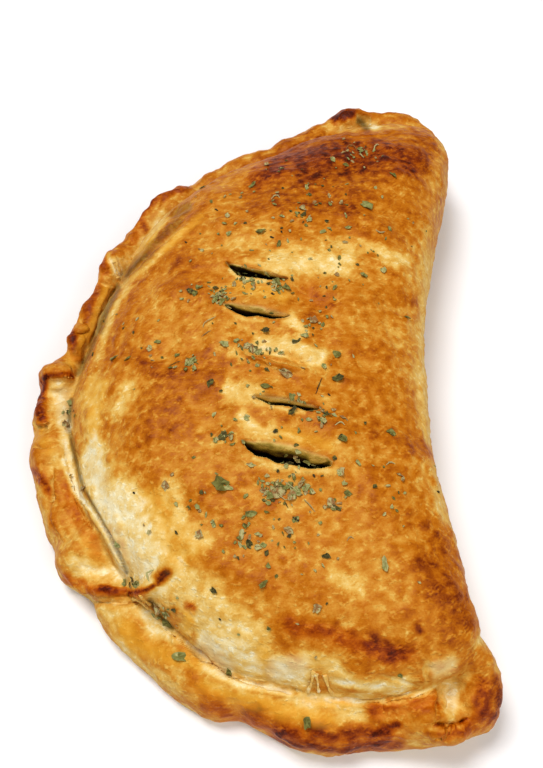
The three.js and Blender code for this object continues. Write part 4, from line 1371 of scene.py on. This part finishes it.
# Stalks and dark or pale shreds: tint, thickness in mm, rise off the dough in mm, and the way.
STALKS = {
    "stalk by the large leaf": (0.9, 0.5, 0.6, [(304, 499), (315, 512)]),
    "thin stalk": (0.05, 0.35, 0.5, [(285, 501), (288, 508)]),
    "stalk in the cluster": (0.85, 0.4, 0.8, [(285, 482), (300, 494)]),
    "second stalk in the cluster": (0.85, 0.35, 0.8, [(272, 490), (284, 499), (292, 500)]),
    "orange curl": (1.0, 0.5, 0.8, [(345, 152), (348, 147), (354, 147), (357, 151)]),
    "pale curl": (0.8, 0.5, 0.6, [(373, 151), (376, 146), (379, 145)]),
    "pale shred": (0.85, 0.6, 0.5, [(359, 154), (364, 158)]),
    "dark stalk": (0.0, 0.35, 0.5, [(322, 378), (318, 387), (316, 394)]),
    "brown stalk": (0.95, 0.4, 0.4, [(201, 337), (211, 331)]),
    "curl, left": (0.85, 0.4, 0.6, [(203, 328), (205, 323), (211, 320), (216, 316)]),
    "line, left": (0.1, 0.3, 0.3, [(169, 366), (181, 361)]),
    "curl, far right": (0.85, 0.6, 0.6, [(376, 230), (380, 233), (385, 232)]),
    "curl, far": (0.8, 0.5, 0.5, [(271, 199), (276, 196), (280, 198)]),
    "curl, near": (0.85, 0.5, 0.5, [(386, 465), (390, 463), (395, 464)]),
    "curl, nearer": (0.9, 0.4, 0.5, [(347, 541), (350, 537), (354, 539)]),
    "pale curl by the fourth slash": (0.8, 0.5, 0.5, [(335, 425), (340, 423), (345, 425)]),
    "rod by the first slash": (0.8, 0.5, 0.8, [(275, 290), (277, 283)]),
    "curl at the scorched knob": (0.7, 0.6, 1.2, [(149, 581), (150, 574), (154, 570)]),
    "star, first arm": (0.3, 0.6, 0.5, [(186, 358), (199, 364)]),
    "star, second arm": (0.6, 0.6, 0.6, [(189, 366), (196, 356)]),
}
# Burnt specks of herb: thickness in mm, and both ends.
SPECKS = [
    (0.7, (218, 211), (215, 209)), (0.7, (187, 243), (185, 242)), (0.8, (270, 237), (274, 238)),
    (0.7, (281, 231), (282, 233)), (0.8, (271, 293), (274, 295)), (1.0, (293, 517), (299, 521)),
    (0.7, (133, 492), (135, 494)), (0.7, (437, 491), (439, 493)), (0.7, (219, 618), (221, 620)),
    (0.8, (313, 475), (315, 477)), (0.7, (328, 394), (330, 396)),
]
SPECK_TINT = 0.0
SPECK_RISE = 0.2  # mm
# Strands of dough: browning, thickness in mm, rise off the dough in mm, and the way.
STRANDS = {
    "near, left": (0.3, 0.8, 0.6, [(314, 671), (312, 680), (308, 691)]),
    "near, middle": (0.25, 0.7, 0.4, [(316, 673), (318, 683), (319, 692)]),
    "near, right": (0.32, 0.9, 0.6, [(325, 675), (328, 685), (333, 695)]),
    "far left": (0.3, 0.8, 0.3, [(114, 262), (116, 270), (118, 278)]),
    "pleat": (0.35, 0.8, 0.5, [(133, 599), (141, 601), (148, 608)]),
    "pleat, second": (0.4, 0.7, 0.5, [(140, 595), (146, 600), (150, 604)]),
}

LEAF_SIDES = 11
CRUMB_SIDES = 5
FLAKE_THICKNESS = 0.15  # mm
FLAKE_TINTS = (0.1, 0.3, 0.45, 0.55, 0.65, 0.8, 0.95)
FLAKE_MOTTLING = 0.12  # how much the tint varies over a flake
FLAKE_RADIUS = 0.62  # in lengths
FLAKE_WIDTH = (0.4, 0.85)  # in lengths, from and to
FLAKE_REACH = (0.6, 1.15)  # of its corners, in radii, from and to
FLAKE_TURN = (-0.3, 0.3)  # of its corners, in sides, from and to
FLAKE_INNER = (0.5, 0.7, 1.3)  # where its inner ring lies, in radii, and times what, from and to
FLAKE_CREASE = (0.1, 0.6)  # how steeply both halves rise from its crease, from and to
FLAKE_CURL = (-0.5, 0.6)  # how much its ends curl up, from and to
FLAKE_BUMPS = 0.05  # how uneven it is, in lengths
FLAKE_LIFT = (0.3, 0.5)  # off the dough in mm, and how much of its depth it is raised by
FLAKE_TILT = 0.2  # how far it leans off the dough
STALK_SIDES = 6
STALK_RINGS = 3  # for each pixel that gives its way
STALK_WANDER = 0.08  # mm off its way
STALK_UNEVEN = (0.8, 1.2)  # times its thickness, from and to
# How thick they are at the ends and in the middle.
STALK_TAPER = (0.55, 1.0)
STRAND_TAPER = (2.2, 0.8)


def surface_frame(normal, heading):
    """Two axes along a surface, the first at a heading, and its normal."""
    first = np.array([math.cos(heading), math.sin(heading), 0.0])
    first -= normal * (first @ normal)
    first /= np.linalg.norm(first)
    return np.array([first, np.cross(normal, first), normal])


def lay_flake(rng, tree, pixel, length, heading, sides):
    """A ragged, creased flake of dried leaf on the dough under a pixel: points, faces and tints."""
    hit = land(tree, pixel)
    if hit is None:
        return None
    place, normal = hit
    turn = (np.arange(sides) + rng.uniform(*FLAKE_TURN, sides)) * 2 * math.pi / sides
    reach = FLAKE_RADIUS * length * rng.uniform(*FLAKE_REACH, sides)
    width = rng.uniform(*FLAKE_WIDTH)
    rim = np.stack([reach * np.cos(turn), width * reach * np.sin(turn)], axis=1)
    inner, *times = FLAKE_INNER
    flat = np.vstack([rim, inner * rim * rng.uniform(*times, (sides, 1)), np.zeros((1, 2))])
    crease = rng.uniform(*FLAKE_CREASE) * np.abs(flat[:, 1])
    curl = rng.uniform(*FLAKE_CURL) * flat[:, 0] ** 2 / length
    lift = crease + curl + rng.normal(0, FLAKE_BUMPS * length, len(flat))
    lift += FLAKE_LIFT[0] - FLAKE_LIFT[1] * lift.min()
    tilt = normal + rng.normal(0, FLAKE_TILT, 3)
    axes = surface_frame(tilt / np.linalg.norm(tilt), heading)
    upper = place + np.column_stack([flat, lift]) @ axes
    points = np.vstack([upper, upper - FLAKE_THICKNESS * axes[2]])
    count = len(flat)
    faces = []
    for j in range(sides):
        k = (j + 1) % sides
        faces.append((j, k, sides + k, sides + j))
        faces.append((sides + j, sides + k, 2 * sides))
        faces.append((count + k, count + j, count + sides + j, count + sides + k))
        faces.append((count + sides + k, count + sides + j, count + 2 * sides))
        faces.append((k, j, count + j, count + k))
    tints = rng.choice(FLAKE_TINTS) + rng.normal(0, FLAKE_MOTTLING, len(points))
    return points, faces, np.clip(tints, 0, 1)


def make_stalk(rng, tree, tint, thickness, rise, pixels, taper):
    """A thin, uneven round strand that lies on the dough along a line of pixels."""
    hits = [land(tree, pixel) for pixel in pixels]
    if None in hits:
        raise RuntimeError(f"the strand from pixel {pixels[0]} misses the dough")
    steps = STALK_RINGS * len(pixels)
    shares = np.arange(steps + 1) / steps
    arch = np.sin(math.pi * shares)
    middle = curve([place for place, _ in hits], shares)
    normal = curve([normal for _, normal in hits], shares)
    middle += (rise * arch)[:, None] * normal + rng.normal(0, STALK_WANDER, middle.shape)
    along = np.gradient(middle, axis=0)
    along /= np.linalg.norm(along, axis=1)[:, None]
    across = np.cross(normal, along)
    across /= np.linalg.norm(across, axis=1)[:, None]
    up = np.cross(along, across)
    radius = 0.5 * thickness * lerp(*taper, arch) * rng.uniform(*STALK_UNEVEN, steps + 1)
    rings = []
    for turn in np.arange(STALK_SIDES) * 2 * math.pi / STALK_SIDES:
        rings.append(middle + radius[:, None] * (math.cos(turn) * across + math.sin(turn) * up))
    points = np.stack(rings, axis=1).reshape(-1, 3)
    first = tuple(range(STALK_SIDES))
    faces = [first[::-1], tuple(steps * STALK_SIDES + j for j in first)]
    for i in range(steps):
        for j in first:
            k = (j + 1) % STALK_SIDES
            low, high = i * STALK_SIDES, (i + 1) * STALK_SIDES
            faces.append((low + j, low + k, high + k, high + j))
    return points, faces, np.full(len(points), float(tint))


def join_parts(name, parts, mark, material):
    """One piece from many parts, whose tints are kept as a mark on its points."""
    points, faces, tints = [], [], []
    start = 0
    for part_points, part_faces, part_tints in parts:
        points.append(part_points)
        faces += [tuple(start + i for i in face) for face in part_faces]
        tints.append(part_tints)
        start += len(part_points)
    piece = new_object(name, np.vstack(points), faces, MM)
    set_mark(piece.data, mark, np.concatenate(tints))
    piece.data.materials.append(material)
    return piece


def dough_tree():
    mesh = bpy.data.objects["baked_crust"].data
    return surface_tree(mesh, mesh_points(mesh) / MM)


def finish_piece(piece):
    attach(piece, "root")


# ------------------------------------------------------------------ settings

class CrustSettings(bpy.types.PropertyGroup):
    """The baked crust."""

    grain: FloatProperty(
        name="Grain", description="Side of the faces of the crust's mesh",
        default=1.0 * MM, min=0.5 * MM, max=3 * MM, unit="LENGTH", precision=5)


class HerbSettings(bpy.types.PropertyGroup):
    """The dried herbs."""

    seed: IntProperty(
        name="Seed", description="Which way the herbs happen to fall", default=5, min=0)


class StageSettings(bpy.types.PropertyGroup):
    """The floor, the lights and the camera."""

    floor: FloatVectorProperty(
        name="Floor", description="Colour of the floor", subtype="COLOR", size=3,
        default=linear("#f4f3f4"), min=0, max=1)


# ------------------------------------------------------------------ operators

FLOOR_SIDE = 12  # metres
# Place and width in metres, and watts.
LIGHTS = {"key": ((-0.5, 0.35, 1.9), 0.8, 31), "fill": ((0.9, -1.1, 1.4), 1.4, 17)}
STUDIO_LIGHT = 0.26  # strength of the white light from all round


class CALZONE_OT_bake_crust(bpy.types.Operator):
    """Bakes the crust: the folded dough, its slashes, folds and blisters, and its browning"""

    bl_idname = "calzone.bake_crust"
    bl_label = "Bake Crust"

    def execute(self, context):
        settings = context.scene.calzone_crust
        dough = make_dough(settings.grain / MM)
        depth = knead(dough)
        brush = Brush(dough)
        mesh = dough.mesh
        marks = {
            "toast": browning(dough, brush),
            "butter": brush.cover(BUTTERY),
            "flour": brush.cover(FLOUR_AND_PAINTED_SHADE),
            "oil": brush.cover(OIL_AND_PAINTED_SHADE),
            "glaze": brush.cover(REDDENED),
            "inside": crumb_and_painted_shade(depth, brush),
        }
        set_points(mesh, dough.points * MM)
        for name, values in marks.items():
            set_mark(mesh, name, values)
        mesh.polygons.foreach_set("use_smooth", [True] * len(mesh.polygons))
        mesh.materials.clear()
        mesh.materials.append(make_crust_material())
        piece = bpy.data.objects.new("baked_crust", mesh)
        context.collection.objects.link(piece)
        finish_piece(piece)
        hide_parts("crust")
        return {"FINISHED"}


class CALZONE_OT_strew_herbs(bpy.types.Operator):
    """Strews dried leaves and crumbs of them over the crust"""

    bl_idname = "calzone.strew_herbs"
    bl_label = "Strew Herbs"

    def execute(self, context):
        rng = np.random.default_rng(context.scene.calzone_herbs.seed)
        tree = dough_tree()
        material = make_herb_material()
        leaves = []
        for across, down, length, *heading in LEAVES:
            angle = math.radians(-heading[0]) if heading else rng.uniform(0, math.pi)
            leaves.append(lay_flake(rng, tree, (across, down), length, angle, LEAF_SIDES))
        crumbs = []
        for across, down, spread, count in SPRINKLES:
            for _ in range(count):
                pixel = rng.normal((across, down), (spread, SPRINKLE_DEPTH * spread))
                length, angle = rng.uniform(*CRUMB_SIZE), rng.uniform(0, 3)
                crumbs.append(lay_flake(rng, tree, pixel, length, angle, CRUMB_SIDES))
        rows = [*STALKS.values(), *((SPECK_TINT, thickness, SPECK_RISE, ends)
                                    for thickness, *ends in SPECKS)]
        pieces = {
            "oregano_leaves": leaves,
            "herb_crumbs": crumbs,
            "oregano_stalks": [make_stalk(rng, tree, *row, STALK_TAPER) for row in rows],
        }
        for name, parts in pieces.items():
            finish_piece(join_parts(name, [part for part in parts if part], "tint", material))
        return {"FINISHED"}


class CALZONE_OT_stretch_strands(bpy.types.Operator):
    """Stretches thin strands of dough over the groove behind the rim"""

    bl_idname = "calzone.stretch_strands"
    bl_label = "Stretch Strands"

    def execute(self, context):
        rng = np.random.default_rng(SEEDS["strands"])
        tree = dough_tree()
        strands = [make_stalk(rng, tree, *row, STRAND_TAPER) for row in STRANDS.values()]
        material = bpy.data.objects["baked_crust"].data.materials[0]
        finish_piece(join_parts("dough_strands", strands, "toast", material))
        return {"FINISHED"}


class CALZONE_OT_set_stage(bpy.types.Operator):
    """Sets the pale floor, the soft lights and the camera"""

    bl_idname = "calzone.set_stage"
    bl_label = "Set Stage"

    def execute(self, context):
        settings = context.scene.calzone_stage
        bpy.ops.mesh.primitive_plane_add(size=FLOOR_SIDE, location=(0, 0, 0))
        floor = context.object
        floor.name = "floor"
        # White card: matt and even, so that the floor takes soft shadows and no gleam.
        material, tree = new_material("matt white card")
        add_surface(tree, {"Base Color": (*settings.floor, 1), "Roughness": 0.9})
        floor.data.materials.append(material)
        for name, row in LIGHTS.items():
            self.add_light(name, *row)
        world = bpy.data.worlds.new("studio")
        world.use_nodes = True
        background = world.node_tree.nodes["Background"]
        background.inputs["Color"].default_value = (1, 1, 1, 1)
        background.inputs["Strength"].default_value = STUDIO_LIGHT
        context.scene.world = world
        context.scene.view_settings.view_transform = "Standard"
        self.add_camera(context)
        return {"FINISHED"}

    @staticmethod
    def add_light(name, place, size, power):
        data = bpy.data.lights.new(name, "AREA")
        data.size = size
        data.energy = power
        light = bpy.data.objects.new(name, data)
        light.location = place
        light.rotation_euler = (-Vector(place)).to_track_quat("-Z", "Y").to_euler()
        bpy.context.collection.objects.link(light)

    @staticmethod
    def add_camera(context):
        data = bpy.data.cameras.new("camera")
        data.sensor_width = SENSOR
        data.lens = FOCAL_PIXELS * SENSOR / FRAME_HEIGHT
        data.clip_start = 0.01
        camera = bpy.data.objects.new("camera", data)
        camera.location = CAMERA_PLACE * MM
        camera.rotation_euler = (CAMERA_TILT, 0, 0)
        context.collection.objects.link(camera)
        context.scene.camera = camera


class CALZONE_PT_kitchen(bpy.types.Panel):
    """The calzone's pieces and their settings"""

    bl_idname = "CALZONE_PT_kitchen"
    bl_label = "Calzone"
    bl_space_type = "VIEW_3D"
    bl_region_type = "UI"
    bl_category = "Calzone"

    def draw(self, context):
        for settings, operators in (
            ("calzone_crust", (CALZONE_OT_bake_crust, CALZONE_OT_stretch_strands)),
            ("calzone_herbs", (CALZONE_OT_strew_herbs,)),
            ("calzone_stage", (CALZONE_OT_set_stage,)),
        ):
            box = self.layout.box()
            group = getattr(context.scene, settings)
            for name in group.__annotations__:
                box.prop(group, name)
            for operator in operators:
                box.operator(operator.bl_idname)


SETTINGS = {
    "calzone_crust": CrustSettings,
    "calzone_herbs": HerbSettings,
    "calzone_stage": StageSettings,
}
CLASSES = (
    *SETTINGS.values(),
    CALZONE_OT_bake_crust,
    CALZONE_OT_stretch_strands,
    CALZONE_OT_strew_herbs,
    CALZONE_OT_set_stage,
    CALZONE_PT_kitchen,
)


def register():
    for cls in CLASSES:
        bpy.utils.register_class(cls)
    for name, group in SETTINGS.items():
        setattr(bpy.types.Scene, name, PointerProperty(type=group))


def unregister():
    for name in SETTINGS:
        delattr(bpy.types.Scene, name)
    for cls in reversed(CLASSES):
        bpy.utils.unregister_class(cls)


def main():
    register()
    bpy.ops.calzone.bake_crust()
    bpy.ops.calzone.stretch_strands()
    bpy.ops.calzone.strew_herbs()
    bpy.ops.calzone.set_stage()


if __name__ == "__main__":
    main()
